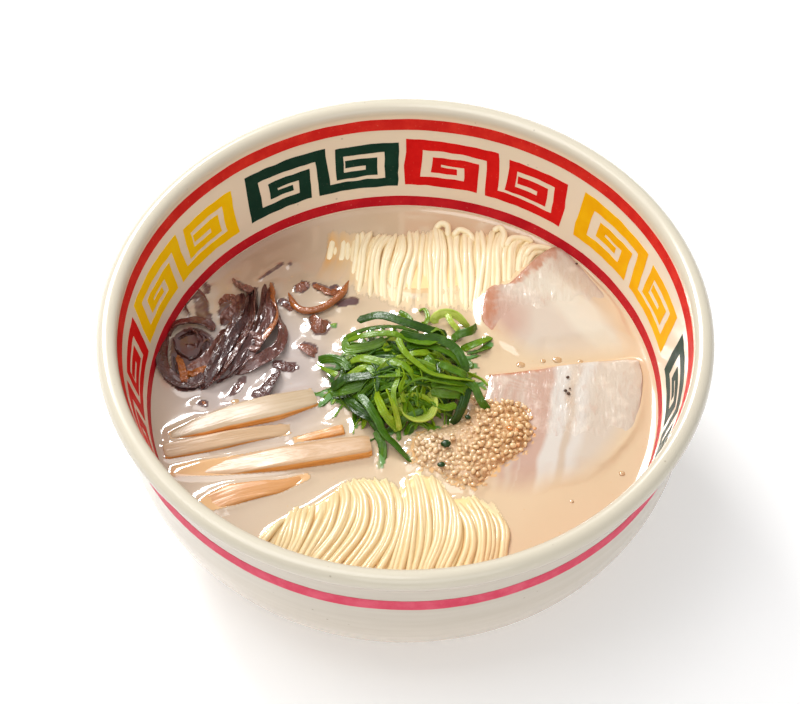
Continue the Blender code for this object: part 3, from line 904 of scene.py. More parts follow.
# %% Bamboo bars
shoot = Finish("bamboo", Roughness=0.32, Specular_IOR_Level=0.4)
grain_place = shoot.attribute("grain").outputs["Vector"]
fibre = shoot.grain(0.8, 2.0, shoot.scaled(1.0, 0.05, 1.0, grain_place))
tone = Value(shoot, shoot.attribute("tone").outputs["Fac"])
lifted = shoot.node("ShaderNodeSeparateXYZ", None, {0: grain_place})
# The top of a bar is paler and greyer than its orange sides: partly a film of broth, partly painted
# sheen.
film_and_sheen_top = (Value(shoot, lifted.outputs[2]) - tone * TONE_STEP).between(1.62, 1.98)
pale = shoot.mix(fibre.between(0.3, 0.75), srgb(184, 160, 128), srgb(192, 171, 142))
side_colour = shoot.mix(fibre.between(0.35, 0.65), srgb(206, 136, 62), srgb(226, 162, 88))
colour = shoot.mix(film_and_sheen_top, side_colour, pale)
shoot.use("Base Color", shoot.mix(tone, colour, srgb(208, 140, 68)))
shoot.bump(fibre + shoot.grain(1.6, 2.0, shoot.scaled(1.0, 0.3, 1.0, grain_place)), 0.14, 0.8)


def plank(widths, thick, seed):
    """A rounded square section whose width changes along the bar, ribbed by fibres."""
    def section(share, angle):
        place = min(share * (len(widths) - 1), len(widths) - 1.001)
        index = int(place)
        wide = widths[index] + (widths[index + 1] - widths[index]) * (place - index)
        full = min(1.0, 0.9 + 4.0 * min(share, 1.0 - share))
        flat_x = math.copysign(abs(math.cos(angle)) ** 0.4, math.cos(angle))
        flat_y = math.copysign(abs(math.sin(angle)) ** 0.4, math.sin(angle))
        rib = 0.22 * noise.noise(Vector((flat_x * wide * 0.55, share * 4.0, seed)))
        swell = 0.5 * noise.noise(Vector((seed, share * 3.0, 5.0)))
        return flat_x * (wide + swell) * full / 2, flat_y * thick * full / 2 + rib + swell * 0.4
    return section


# Each bar: points (x, y, height of its top over the broth), widths, tone and thickness
SHOOTS = (
    (((-77.5, -16.2, 0.9), (-67, -12.2, 2.2), (-56, -8.2, 2.8), (-43, -4.2, 3.0),
      (-30, 0.6, 1.6)),
     (3.0, 7.4, 9.6, 10.0, 7.6), 0.0, 4.6),
    (((-79, -22.8, 2.2), (-64, -19.0, 2.4), (-50, -15.2, 2.1), (-38, -12.6, 0.9)),
     (6.4, 6.2, 5.8, 4.4), 0.2, 4.6),
    (((-36.5, -17.2, 0.6), (-28, -15.0, 1.6), (-20, -12.8, 1.9)), (2.6, 3.6, 4.0), 0.4, 3.6),
    (((-77, -30.2, -0.3), (-58, -28.0, 0.9), (-40, -25.0, 2.8), (-26, -22.4, 3.2),
      (-11, -19.6, 3.2)),
     (5.0, 7.4, 9.4, 9.2, 7.8), 0.3, 4.8),
    (((-66, -44.0, -0.2), (-56, -39.6, 1.6), (-47, -37.2, 1.9), (-40, -35.6, 1.6),
      (-31, -31.4, 0.2)),
     (6.0, 8.6, 6.6, 5.2, 2.4), 0.75, 4.4))
for order, (points, widths, tone, thick) in enumerate(SHOOTS, 1):
    bm = strand_mesh()
    route = smooth_route([(x, y, BROTH + top - thick / 2) for x, y, top in points], 48)
    bend(bm, route, plank(widths, thick, order * 2.7), 32, tone=tone,
         roll=0.12 * math.sin(order * 2.0))
    piece(bm, "bamboo_bar_%d" % order, shoot, ["bamboo_shoot_%d" % order])

# %% [markdown]
# ## Pork
# A slice of simmered belly shows its rolled layers: lean pink meat, a white seam of fat, a greyer
# streak and a broad pale fat. Where each layer runs is known in millimetres, so the colour is
# worked out for every vertex of the slice and kept on it. The same sum tells the broth, later on,
# what shimmers through it where the slice sinks.

# %% Pork slices
SLICE_BACK = ((26.6, 44.5), (30.5, 49.5), (35.5, 50.5), (41.5, 57.5), (47, 63.5), (52.5, 66.3),
              (58, 61), (64.1, 52.5), (71, 42.5), (76.7, 30), (78.6, 22.2), (70.2, 18.6),
              (55.7, 17.2), (42, 17), (33.8, 23.5), (31.4, 26.2), (26.2, 34))
SLICE_FRONT = ((28.4, 9), (29.6, 10.2), (43.1, 12.2), (52.5, 14.2), (66, 16.2), (77.2, 17),
               (79.2, 15.4), (79.8, 7.8), (77.8, -5.5), (73, -16.5), (61.7, -30.5),
               (49.5, -34.5), (42.2, -38.4), (36.4, -39), (26.5, -35.5), (24, -20), (25.6, -4))


def blend(first, second, share):
    share = min(1.0, max(0.0, share))
    return tuple(a + (b - a) * share for a, b in zip(first, second))


LEAN = srgb(191, 158, 140)
FAT = srgb(209, 202, 192)
STREAK = srgb(196, 178, 158)
BROAD = srgb(202, 188, 171)                 # the broad fat
CREAMY = srgb(211, 202, 184)
CRUST = srgb(184, 118, 82)


def back_slice_colour(spot):
    waver = 3.0 * noise.noise(spot / 9.0)
    diagonal = (spot.x - 42.0) * 0.786 + (spot.y - 55.0) * 0.619 + waver
    colour = blend(BROAD, CREAMY, (diagonal + 5.0) / 4.0)
    colour = blend(colour, STREAK, (diagonal - 7.0) / 3.0)
    corner = (Vector((spot.x, spot.y, 0.0)) - Vector((29.0, 36.0, 0.0))).length
    colour = blend(LEAN, colour, (corner + waver - 7.0) / 9.0)
    ragged = 3.0 * noise.noise(spot / 1.6) + 2.4 * noise.noise(spot / 4.0)
    if spot.y < 50.0:
        crust = (spot.x - 29.6 + ragged) / 2.4
    else:
        crust = (spot.x - spot.y + 12.6 + ragged) / 1.6
    return blend(blend(CRUST, colour, 0.2), colour, crust)


def front_slice_colour(spot):
    waver = 1.6 * noise.noise(spot / 8.0)
    seam = spot.x - 43.0 - (spot.y + 36.0) * 0.174 + waver
    colour = blend(LEAN, FAT, (seam + 1.2) / 1.6)
    colour = blend(colour, STREAK, (seam - 4.6) / 1.2)
    colour = blend(colour, FAT, (seam - 7.4) / 1.4)
    colour = blend(colour, BROAD, (seam - 10.5) / 3.0)
    if seam < -7.0:
        colour = blend(colour, BROAD, 0.6 * (1.0 + math.sin(seam * 1.7)) / 2.0)
    skin = spot.y - 8.3 - (spot.x - 29.0) * 0.16 + 0.6 * waver
    runs_out = min(1.0, max(0.0, (spot.x - 44.0) / 5.0))
    return blend(colour, CRUST, min(1.0, skin / 1.2) * (1.0 - runs_out))


def slice_of_pork(outline, surface, colour_at):
    """A slab with a soft edge whose top follows surface(x, y) above the broth."""
    profile = [(0.93, -4.6), (0.985, -3.6), (1.0, -2.2), (1.0, -1.0), (0.99, -0.35), (0.97, -0.08)]
    profile += [(0.97 - 0.97 * step / 17.0, 0.0) for step in range(1, 17)] + [(0.02, 0.0)]
    bm = mound(outline, [(size, depth) for size, depth in profile], 128)
    colours = bm.verts.layers.float_color.new("tint")
    for vert in bm.verts:
        ripple = 0.35 * noise.noise(vert.co / 7.0) + 0.16 * noise.noise(vert.co / 2.2)
        vert.co.z += surface(vert.co.x, vert.co.y) + ripple
        vert[colours] = (*colour_at(vert.co), 1.0)
    return bm


pork = Finish("simmered_pork", Roughness=0.24, Coat_Weight=0.5, Coat_Roughness=0.06)
fibres = pork.grain(1.6, 3.0, pork.scaled(1.0, 0.35, 1.0))
meat = pork.attribute("tint").outputs["Color"]
soft = pork.grain(5.0, 3.0)
shade = pork.mix(fibres.between(0.52, 0.75) * 0.35, meat, srgb(196, 158, 136))
pork.use("Base Color", pork.mix(soft.between(0.5, 0.75) * 0.3, shade, srgb(244, 232, 214)))
pork.bump(fibres + soft, 0.42, 0.7)


def back_slice_height(x, y):
    """The top over the broth: it climbs towards the wall, and its left edge curls up."""
    return 0.5 + 0.055 * (y - 38.0) - 0.012 * (x - 50.0) + max(0.0, 34.0 - x) * 0.12


def front_slice_height(x, y):
    """Highest at the back edge, and it sinks towards the front and at the wall."""
    return 2.5 + 0.065 * (y - 14.0) - 0.02 * max(0.0, x - 66.0)


bm = slice_of_pork(SLICE_BACK, back_slice_height, back_slice_colour)
piece(bm, "pork_back", pork, ["pork_slice_back"])
bm = slice_of_pork(SLICE_FRONT, front_slice_height, front_slice_colour)
piece(bm, "pork_front", pork, ["pork_slice_front"])

# %% [markdown]
# ## Wood ear
# Wood ear is a frilly fungus cut into strips, dark violet brown and slick when wet. A strip is a
# thin ribbon, curled across its width and crumpled by noise, that twists on its way. The paler
# underside of some strips shows orange brown.

# %% Wood ear strips
fungus = Finish("wood_ear", Roughness=0.22, Coat_Weight=0.6, Coat_Roughness=0.08,
                Specular_IOR_Level=0.5)
grain_place = fungus.attribute("grain").outputs["Vector"]
tone = Value(fungus, fungus.attribute("tone").outputs["Fac"])
vein = fungus.grain(1.1, 3.0, fungus.scaled(1.0, 0.3, 1.0, grain_place))
skin = fungus.ramp(tone + (vein - 0.5) * 0.35, (0.0, srgb(56, 24, 20)), (0.22, srgb(98, 54, 46)),
                   (0.45, srgb(132, 84, 70)), (0.62, srgb(132, 70, 36)), (0.95, srgb(172, 96, 32)))
fungus.use("Base Color", skin)
fungus.bump(vein + fungus.grain(0.6, 2.0), 0.4, 0.9)


def ribbon(wide, thick, curl, crumple, seed, ends=0.14, flat=1.0):
    """A thin section that curls up at its edges and is crumpled by noise."""
    def section(share, angle):
        full = taper(share, ends)
        reach = math.copysign(abs(math.cos(angle)) ** flat, math.cos(angle))
        across = wide / 2 * full * reach
        lifted = curl * wide / 2 * reach ** 2
        rough = noise.noise(Vector((across * 0.9, share * 9.0, seed)))
        fine = noise.noise(Vector((across * 2.3, share * 26.0, seed + 4.0)))
        high = (thick / 2 * math.copysign(abs(math.sin(angle)) ** flat, math.sin(angle)) + lifted
                + crumple * (rough + 0.5 * fine) * full)
        return across + crumple * 0.5 * rough, high
    return section


# Each strip: points (x, y, height over the broth), width and tone
BUNDLE = (
    (((-56.0, 44.1, 1.0), (-55.9, 33.6, 4.0), (-59.2, 25.7, 4.4), (-62.4, 16.5, 4.4),
      (-65.2, 8.6, 3.6), (-68.6, 3.0, 0.5)), 4.0, 0.1),
    (((-54.1, 46.5, 1.0), (-54.1, 33.7, 4.6), (-57.3, 25.3, 5.0), (-60.5, 16.1, 5.0),
      (-64.2, 7.6, 4.2), (-67.3, 3.4, 0.8)), 3.6, 0.05),
    (((-51.6, 47.2, 1.0), (-51.3, 33.6, 4.8), (-53.2, 25.2, 5.2), (-56.5, 17.1, 5.2),
      (-61.1, 9.2, 4.4), (-66.0, 4.8, 1.2)), 4.0, 0.15),
    (((-48.8, 48.4, 1.0), (-48.3, 36.3, 4.4), (-50.1, 25.2, 5.2), (-53.4, 17.9, 5.0),
      (-57.6, 11.1, 4.2), (-62.9, 6.1, 1.0)), 3.6, 0.08),
    (((-47.0, 47.2, 1.0), (-46.0, 35.5, 4.0), (-47.4, 25.6, 4.8), (-50.7, 18.8, 4.6),
      (-55.1, 13.3, 3.6), (-60.3, 8.0, 0.8)), 3.8, 0.2),
    (((-46.3, 49.3, 1.0), (-44.8, 39.9, 3.6), (-43.8, 32.5, 4.2), (-46.0, 25.5, 5.0),
      (-49.5, 20.6, 4.6), (-54.2, 15.2, 3.4)), 2.6, 0.8),
    (((-44.2, 35.1, 1.6), (-41.8, 26.9, 3.2), (-42.7, 20.3, 3.6), (-46.2, 16.4, 3.4),
      (-51.5, 13.0, 2.6), (-56.8, 9.9, 0.6)), 4.2, 0.25),
    (((-54.5, 22.7, 5.4), (-51.8, 22.9, 6.0), (-49.4, 21.2, 6.0), (-49.8, 17.5, 5.6),
      (-53.0, 17.7, 4.6)), 2.6, 0.3),
    (((-62.8, 30.9, 0.6), (-60.6, 33.9, 2.0), (-57.9, 36.7, 2.2), (-56.9, 43.9, 0.6)), 4.6, 0.35),
    (((-59.0, 49.6, 0.8), (-57.5, 47.0, 2.2), (-55.1, 45.4, 2.8), (-53.2, 43.7, 2.4)), 5.4, 0.42),
    (((-63.1, 38.7, 0.3), (-61.2, 41.6, 1.2), (-58.2, 41.5, 0.6)), 4.2, 0.55),
    (((-43.6, 42.0, 0.2), (-40.7, 39.8, 0.9), (-38.4, 37.4, 0.2)), 3.4, 0.45))
FOLD = (
    (((-80.8, 28.0, 1.0), (-82.0, 18.7, 2.4), (-80.9, 10.7, 2.6), (-76.4, 5.6, 2.4),
      (-70.8, 4.7, 2.2), (-65.7, 9.0, 2.4), (-62.4, 15.3, 1.6)), 4.2, 0.1),
    (((-80.1, 25.3, 1.6), (-78.0, 29.1, 2.6), (-72.7, 30.8, 2.8), (-67.6, 30.0, 2.4),
      (-64.9, 28.0, 1.4)), 4.0, 0.2),
    (((-78.4, 25.1, 0.4), (-77.1, 18.2, 0.4), (-72.8, 15.0, 0.3), (-68.4, 17.2, 0.4),
      (-66.9, 23.8, 0.8)), 4.4, 0.05),
    (((-61.1, 27.4, 2.6), (-62.8, 20.7, 3.4), (-65.5, 15.0, 3.4), (-69.0, 12.0, 2.8),
      (-73.5, 11.1, 1.6)), 4.4, 0.35),
    (((-76.9, 16.8, 1.6), (-75.0, 11.0, 3.2), (-74.1, 7.1, 3.2), (-73.3, 5.1, 2.2)), 2.6, 0.8),
    (((-73.5, 8.5, 2.8), (-70.6, 9.0, 3.0), (-67.5, 10.3, 2.8), (-64.6, 13.2, 2.0)), 2.4, 0.95),
    (((-75.3, 27.8, 1.4), (-71.6, 27.6, 1.8), (-69.7, 24.3, 1.6), (-70.9, 21.1, 1.2),
      (-74.6, 22.0, 0.8)), 2.6, 0.15),
    (((-81.0, 12.0, 0.3), (-77.8, 6.6, 0.8), (-72.7, 3.9, 0.8), (-67.5, 6.6, 0.3)), 3.4, 0.25),
    (((-75.9, 44.5, -0.6), (-72.6, 44.8, -0.2), (-69.7, 40.9, -0.3), (-69.0, 35.6, -0.3),
      (-66.9, 31.5, -0.2)), 5.0, 0.3),
    (((-73.5, 34.8, -0.8), (-76.0, 38.6, -0.5), (-73.9, 42.8, -0.6),
      (-70.3, 43.7, -0.9)), 5.0, 0.25),
    (((-71.1, 49.3, -0.6), (-68.1, 47.0, 0.1), (-68.5, 43.9, -0.4)), 3.0, 0.3),
    (((-63.4, 34.7, -0.5), (-61.7, 37.4, -0.2), (-62.0, 42.4, -0.6)), 4.0, 0.3),
    (((-50.4, 50.7, -0.5), (-46.8, 54.1, -0.2), (-42.3, 58.5, -0.4)), 1.6, 0.2),
    (((-40.7, 57.3, -0.3), (-39.5, 58.4, -0.2)), 1.4, 0.2))
CURL = (
    (((-40.2, 44.5, 1.2), (-37.4, 38.2, 2.6), (-33.3, 36.2, 3.0), (-27.8, 38.0, 3.0),
      (-22.5, 43.4, 2.6), (-19.7, 50.5, 0.8)), 2.6, 0.82),)
FLAKES = (
    (((-37.7, 45.6, 0.3), (-35.9, 47.4, 1.7), (-33.5, 49.7, 0.8)), 4.2, 0.55),
    (((-23.8, 39.9, -0.4), (-20.6, 41.4, 0.3), (-16.0, 42.3, 0.1)), 4.2, 0.6),
    (((-32.8, 34.5, 0.3), (-30.8, 30.2, 2.2), (-28.1, 29.2, 2.0), (-26.4, 33.2, 0.6)), 6.4, 0.55),
    (((-34.3, 23.6, 0.3), (-32.4, 20.8, 1.7), (-29.6, 20.0, 0.6)), 6.0, 0.5),
    (((-44.4, 15.2, 0.6), (-40.3, 13.3, 1.6), (-35.8, 12.6, 0.4)), 4.4, 0.15),
    (((-42.5, 11.8, 0.6), (-45.4, 6.1, 2.2), (-47.0, 2.8, 2.0), (-51.0, 0.6, 0.4)), 5.4, 0.1),
    (((-31.9, 49.5, 0.3), (-28.6, 47.3, 1.3), (-25.3, 45.6, 1.3), (-23.5, 48.7, 0.4)), 4.6, 0.7),
    (((-53.6, 9.1, 0.2), (-56.1, 4.1, 0.9), (-58.7, 0.6, 0.2)), 2.8, 0.3),
    (((-69.2, -2.3, 0.2), (-66.9, -2.8, 0.9), (-65.6, -2.9, 0.3)), 3.0, 0.9))


def strips(routes, thick, curl, crumple, lie):
    """One bmesh of ribbons; lie is how much deeper they lie than their routes."""
    bm = strand_mesh()
    for order, (points, wide, tone) in enumerate(routes):
        route = over_broth(points, 40, lie)
        bend(bm, route, ribbon(wide, thick, curl, crumple, order * 3.7), 16, tone=tone,
             roll=0.7 * math.sin(order * 2.3), twist=1.1 * math.sin(order * 4.1))
    return bm


piece(strips(BUNDLE, 1.3, 0.35, 0.75, 0.5), "wood_ear_strips", fungus,
      ["wood_ear_bundle"])
piece(strips(FOLD, 1.2, 0.4, 0.6, 0.5), "wood_ear_frill", fungus, ["wood_ear_fold"])
FOLD_BED = ((-79, 14), (-79, 24), (-74, 29), (-68, 28), (-64, 22), (-66, 12), (-72, 7), (-77, 8))
bed = mound(FOLD_BED, ((0.9, -4), (1.0, -2.5), (1.0, -0.2), (0.85, 0.8), (0.5, 0.5), (0.1, 0.2)), 48)
piece(bed, "wood_ear_bed", fungus, ["wood_ear_fold"])
piece(strips(CURL, 2.3, 0.05, 0.15, 0.9), "wood_ear_curl_strip", fungus,
      ["wood_ear_curl"])
piece(strips(FLAKES, 1.5, -0.12, 0.5, 0.7), "wood_ear_chips", fungus,
      ["wood_ear_flake_%d" % order for order in range(1, 7)])

# %% [markdown]
# ## Scallions
# Green scallion leaves are cut on a long slant into shreds that spring into a loose heap. The
# shreds that show are laid one by one along their own routes. More of them fill the heap below,
# over a dark core that is painted shade. Their tone runs from blue green at the leaf's tip to pale
# yellow near the root.

# %% Scallion shreds
leaf = Finish("scallion", Roughness=0.33, Specular_IOR_Level=0.32)
grain_place = leaf.attribute("grain").outputs["Vector"]
tone = Value(leaf, leaf.attribute("tone").outputs["Fac"])
rib = leaf.grain(0.55, 1.0, leaf.scaled(1.0, 0.04, 1.0, grain_place))
cloud = leaf.grain(4.0, 2.0, grain_place)
green = leaf.ramp(tone + (rib - 0.5) * 0.22 + (cloud - 0.5) * 0.3, (0.0, srgb(26, 56, 8)),
                  (0.25, srgb(56, 96, 4)), (0.5, srgb(90, 128, 6)), (0.75, srgb(136, 166, 24)),
                  (0.98, srgb(200, 212, 100)))
# Pale blue green patches on the middle tones: partly the leaf's waxy bloom, partly painted sheen.
bloom_and_sheen = cloud.between(0.52, 0.72) * tone.between(0.1, 0.45) * tone.between(0.7, 0.4)
leaf.use("Base Color", leaf.mix(bloom_and_sheen * 0.25, green, srgb(112, 156, 88)))
leaf.bump(rib + leaf.grain(1.6, 2.0, grain_place), 0.3, 0.9)

# Each shred: points (x, y, height over the broth), width and tone
SHREDS = (
    (((-16.3, 27.7, 8.0), (-8.6, 27.3, 11.5), (-0.5, 24.2, 12.0), (8.1, 22.5, 10.0),
      (14.0, 22.6, 7.0)), 4.6, 0.12),
    (((-18.0, 21.7, 9.0), (-10.3, 21.0, 13.0), (-2.2, 21.0, 13.5), (4.5, 19.7, 12.0)), 4.6, 0.25),
    (((-19.3, 18.3, 9.0), (-13.8, 17.5, 13.0), (-6.7, 17.7, 14.0), (-2.2, 17.3, 13.5),
      (3.2, 15.9, 11.0)), 3.2, 0.55),
    (((-2.2, 18.2, 13.5), (4.5, 16.7, 13.0), (11.2, 17.0, 12.0), (16.7, 14.7, 10.0),
      (19.8, 10.0, 8.0), (20.1, 7.6, 6.0)), 4.4, 0.22),
    (((-6.7, 17.5, 11.0), (-10.2, 15.9, 10.0), (-16.0, 14.9, 9.0), (-19.7, 15.6, 8.0),
      (-19.3, 18.8, 9.0), (-15.7, 19.0, 11.0)), 4.2, 0.5),
    (((-2.6, 14.6, 15.5), (-0.3, 9.0, 15.5), (4.6, 4.3, 14.5), (9.5, 1.2, 13.5), (17.1, 1.2, 11.5),
      (23.4, 2.8, 8.0)), 3.4, 0.62),
    (((-18.2, 10.6, 8.0), (-14.1, 9.5, 11.0), (-8.3, 7.1, 12.0), (-2.1, 6.3, 12.5),
      (4.6, 6.4, 12.5), (10.4, 4.0, 12.0)), 4.4, 0.6),
    (((-29.1, 14.2, 3.0), (-25.0, 13.9, 5.0), (-20.9, 11.5, 6.0), (-18.6, 8.2, 6.0)), 4.2, 0.3),
    (((-29.3, 12.9, 2.5), (-26.3, 9.9, 3.5), (-22.6, 7.4, 4.0)), 3.6, 0.66),
    (((-24.3, 1.4, 4.5), (-19.8, 2.7, 8.0), (-14.0, 2.4, 10.0), (-8.2, 2.8, 11.0),
      (-3.8, 3.1, 11.5)), 4.8, 0.1),
    (((-24.7, 0.7, 3.5), (-18.4, -0.0, 6.5), (-11.8, 1.1, 8.5), (-5.6, 2.0, 10.0),
      (-2.0, 2.2, 10.5)), 5.2, 0.3),
    (((-19.0, 4.6, 7.0), (-14.5, 6.4, 9.5), (-9.2, 6.7, 11.0), (-4.7, 5.7, 11.0)), 3.4, 0.66),
    (((-1.9, -4.2, 8.0), (-0.2, -3.9, 12.0), (2.4, -2.7, 14.5), (5.9, -1.6, 15.0),
      (9.5, -1.9, 14.0), (14.8, -1.1, 11.5), (20.2, 0.7, 8.5)), 3.8, 0.45),
    (((8.6, -0.6, 11.5), (14.0, -1.0, 11.0), (19.3, -1.3, 9.0), (21.0, -3.0, 6.0)), 6.0, 0.42),
    (((8.7, -2.6, 9.0), (13.1, -3.4, 9.0), (18.5, -2.7, 7.5), (20.3, -3.5, 6.0)), 4.4, 0.45),
    (((8.3, -3.5, 6.5), (11.4, -6.5, 6.5), (14.1, -6.9, 6.0), (17.2, -5.4, 5.5)), 4.0, 0.55),
    (((20.9, -0.0, 8.0), (19.8, -5.2, 7.5), (18.1, -8.9, 5.0), (16.4, -10.7, 1.5)), 4.8, 0.03),
    (((18.4, 3.3, 9.5), (22.9, 0.2, 8.5), (25.2, -3.1, 5.5), (27.7, -4.9, 2.0)), 4.0, 0.3),
    (((-9.5, -3.4, 9.0), (-7.2, -10.0, 9.0), (-4.9, -12.5, 6.5), (-1.8, -13.9, 2.5)), 4.2, 0.68),
    (((-5.9, -2.8, 10.5), (-3.7, -9.1, 10.0), (-2.3, -12.5, 6.5), (-1.6, -14.3, 3.0)), 3.0, 0.8),
    (((-15.5, -1.7, 6.5), (-12.1, -7.7, 8.0), (-8.9, -13.0, 7.0), (-6.6, -16.9, 5.0),
      (-2.6, -20.3, 3.0), (2.7, -25.5, 0.6)), 4.4, 0.25),
    (((-9.3, -14.8, 3.5), (-7.2, -19.8, 2.2), (-7.2, -23.9, 0.4), (-8.2, -28.1, -1.4)), 4.2, 0.3),
    (((-2.5, 4.9, 13.5), (-2.4, 0.1, 12.5), (-3.7, -4.7, 11.5), (-2.8, -9.0, 8.5),
      (-1.0, -9.7, 5.0)), 2.6, 0.6),
    (((-1.4, 4.6, 14.0), (0.2, 1.3, 12.5), (-1.3, -3.5, 11.5), (0.1, -6.4, 8.0)), 2.8, 0.7),
    (((-18.4, -2.4, 3.0), (-15.2, -7.9, 4.5), (-10.7, -10.6, 4.5), (-6.3, -11.1, 3.0)), 4.6, 0.05),
    (((-19.8, -0.8, 3.0), (-16.1, -6.1, 5.0), (-12.0, -9.9, 5.0), (-8.0, -15.3, 3.5)), 4.4, 0.12),
    (((11.3, 6.7, 12.5), (14.8, 5.2, 12.0), (19.3, 3.9, 10.5), (20.9, 3.5, 8.5)), 4.8, 0.35),
    (((8.1, 22.0, 9.5), (10.8, 23.2, 9.5), (13.1, 21.8, 8.0), (12.7, 20.9, 7.0)), 4.2, 0.55),
    (((11.3, 17.8, 11.0), (6.8, 14.8, 12.5), (1.4, 15.5, 13.0), (-1.3, 18.5, 12.0)), 3.6, 0.5),
    (((20.1, 7.1, 6.0), (17.1, 10.9, 9.0), (11.3, 14.2, 10.5), (5.0, 15.0, 11.5),
      (0.5, 13.8, 11.5)), 4.8, 0.3),
    (((-18.3, 14.3, 7.5), (-14.6, 11.4, 8.5), (-11.9, 6.0, 9.0), (-8.3, 5.5, 9.0)), 4.6, 0.4),
    (((5.0, 12.0, 11.0), (8.2, 8.9, 11.5), (9.5, 4.4, 11.5), (13.5, 3.4, 10.0)), 5.0, 0.35),
    (((15.9, 25.7, 0.8), (18.6, 26.7, 2.6), (21.8, 27.6, 3.0), (24.1, 30.9, 1.0)), 4.2, 0.35),
    (((19.1, 21.4, 0.6), (21.8, 21.7, 2.4), (25.4, 23.5, 2.4), (29.1, 26.7, 0.6)), 3.6, 0.5),
    (((20.9, 19.7, -0.2), (24.5, 20.4, 1.2), (26.8, 21.6, 1.2), (29.6, 24.4, -0.2)), 3.8, 0.4),
    (((20.9, 16.4, 0.4), (22.7, 14.4, 0.9), (24.6, 14.7, -0.6)), 3.2, 0.4),
    (((9.6, 31.8, 1.4), (10.2, 33.5, 3.0), (13.2, 34.9, 3.4), (16.8, 34.1, 3.4), (19.5, 31.9, 2.6),
      (21.0, 30.7, 0.8)), 4.4, 0.9),
    (((14.1, 34.8, 3.2), (15.4, 31.2, 3.4), (17.3, 29.0, 2.6), (18.7, 27.8, 1.2)), 3.0, 0.82),
    (((4.5, 37.6, 1.0), (6.3, 37.8, 1.8), (7.5, 34.9, 2.2), (7.0, 32.0, 1.8),
      (5.5, 32.2, 0.8)), 2.2, 0.6),
    (((-25.3, 30.4, 0.3), (-24.4, 31.0, 0.7), (-23.2, 31.0, 0.3)), 2.6, 0.62),
    (((-2.3, 37.2, 0.6), (0.4, 34.5, 1.8), (1.8, 31.8, 2.4)), 3.2, 0.45))
RING_SHRED = ((0.1, -2.4, 7.0), (-0.3, -5.7, 5.5), (1.7, -8.8, 4.5), (4.8, -10.1, 4.2),
              (7.9, -9.2, 4.5), (9.2, -6.1, 5.5), (8.3, -2.2, 7.0), (5.6, -0.2, 8.0))
HEAP_CORE = ((-19, 6), (-18, 13), (-13, 20), (-3, 23), (9, 20), (15, 15), (16, 6), (14, -3),
             (10, -7), (3, -8), (-5, -7), (-11, -1))


SHRED_SHARE = 0.7                           # how much of its listed width a shred is drawn with
LOOSE_SHREDS = 240                          # tried at random, and kept where they lie on the heap


def shred(wide, curl, seed, thick=0.5, crumple=0.22):
    """A scallion shred's section: a flat ribbon with blunt ends."""
    return ribbon(wide, thick, curl, crumple, seed, ends=0.03, flat=0.45)


def heap_height(x, y):
    """How high the heap stands over the broth."""
    far = math.hypot((x + 1.0) / 22.0, (y - 6.0) / 20.0)
    return 12.0 * max(0.0, 1.0 - far ** 2)


bm = strand_mesh()
for order, (points, wide, tone) in enumerate(SHREDS):
    curl = 0.14 * math.sin(order * 5.0)
    bend(bm, over_broth(points, 30), shred(wide * SHRED_SHARE, curl, order * 1.9), 16, tone=tone,
         roll=0.6 * math.sin(order * 1.7), twist=1.1 * math.sin(order * 2.9))
bend(bm, over_broth(RING_SHRED, 44), shred(5.2, 0.05, 91.0, 0.8, 0.12), 16, tone=0.9, roll=0.75)
for order in range(LOOSE_SHREDS):
    x, y = chance.gauss(-1.0, 10.0), chance.gauss(6.0, 9.0)
    top = heap_height(x, y)
    if top < 1.0:
        continue
    heading = chance.gauss(0.0, 0.6)
    bow = chance.uniform(-0.8, 0.8)
    points = []
    half = chance.uniform(6.0, 13.0)
    bury = chance.uniform(0.6, 1.16)
    for step in (-1.0, -0.5, 0.0, 0.5, 1.0):
        reach = half * step
        px = x + reach * math.cos(heading + bow * step)
        py = y + reach * math.sin(heading + bow * step)
        height = 0.4 + bury * heap_height(px, py) * chance.uniform(0.9, 1.05)
        points.append((px, py, BROTH + height))
    section = shred(chance.uniform(1.3, 3.0), chance.uniform(-0.15, 0.15), order * 5.1)
    bend(bm, smooth_route(points, 22), section, 12, tone=chance.uniform(0.05, 0.75),
         roll=chance.uniform(-1.3, 1.3), twist=chance.uniform(-1.5, 1.5))
piece(bm, "scallion_shreds", leaf, ["scallion_heap"])
# The dark core is painted shade deep in the heap.
shadow = Finish("scallion_core", Roughness=0.6)
shadow.use("Base Color", shadow.mix(shadow.grain(3.0), srgb(12, 34, 16), srgb(26, 60, 24)))
core = mound(HEAP_CORE, ((0.8, -6), (1.0, -4), (1.0, -0.5), (0.95, 2), (0.8, 5.2), (0.55, 7.6),
                         (0.2, 8.6)))
piece(core, "scallion_core_heap", shadow, ["scallion_heap"])

# %% [markdown]
# ## Sesame
# A spoonful of toasted sesame lies in a low heap that runs out into the broth. One seed is a
# drop drawn out at one end, of a few dozen faces. Some hundreds are set down one at a time where
# there is still room, each turned its own way, over a low core of the same colour.

# %% Sesame seeds
seed_coat = Finish("toasted_sesame", Roughness=0.35, Coat_Weight=0.35, Coat_Roughness=0.08)
tone = Value(seed_coat, seed_coat.attribute("tone").outputs["Fac"])
seed_colour = seed_coat.ramp(tone, (0.0, srgb(184, 134, 82)), (0.35, srgb(208, 165, 110)),
                             (0.75, srgb(226, 192, 142)), (1.0, srgb(214, 140, 68)))
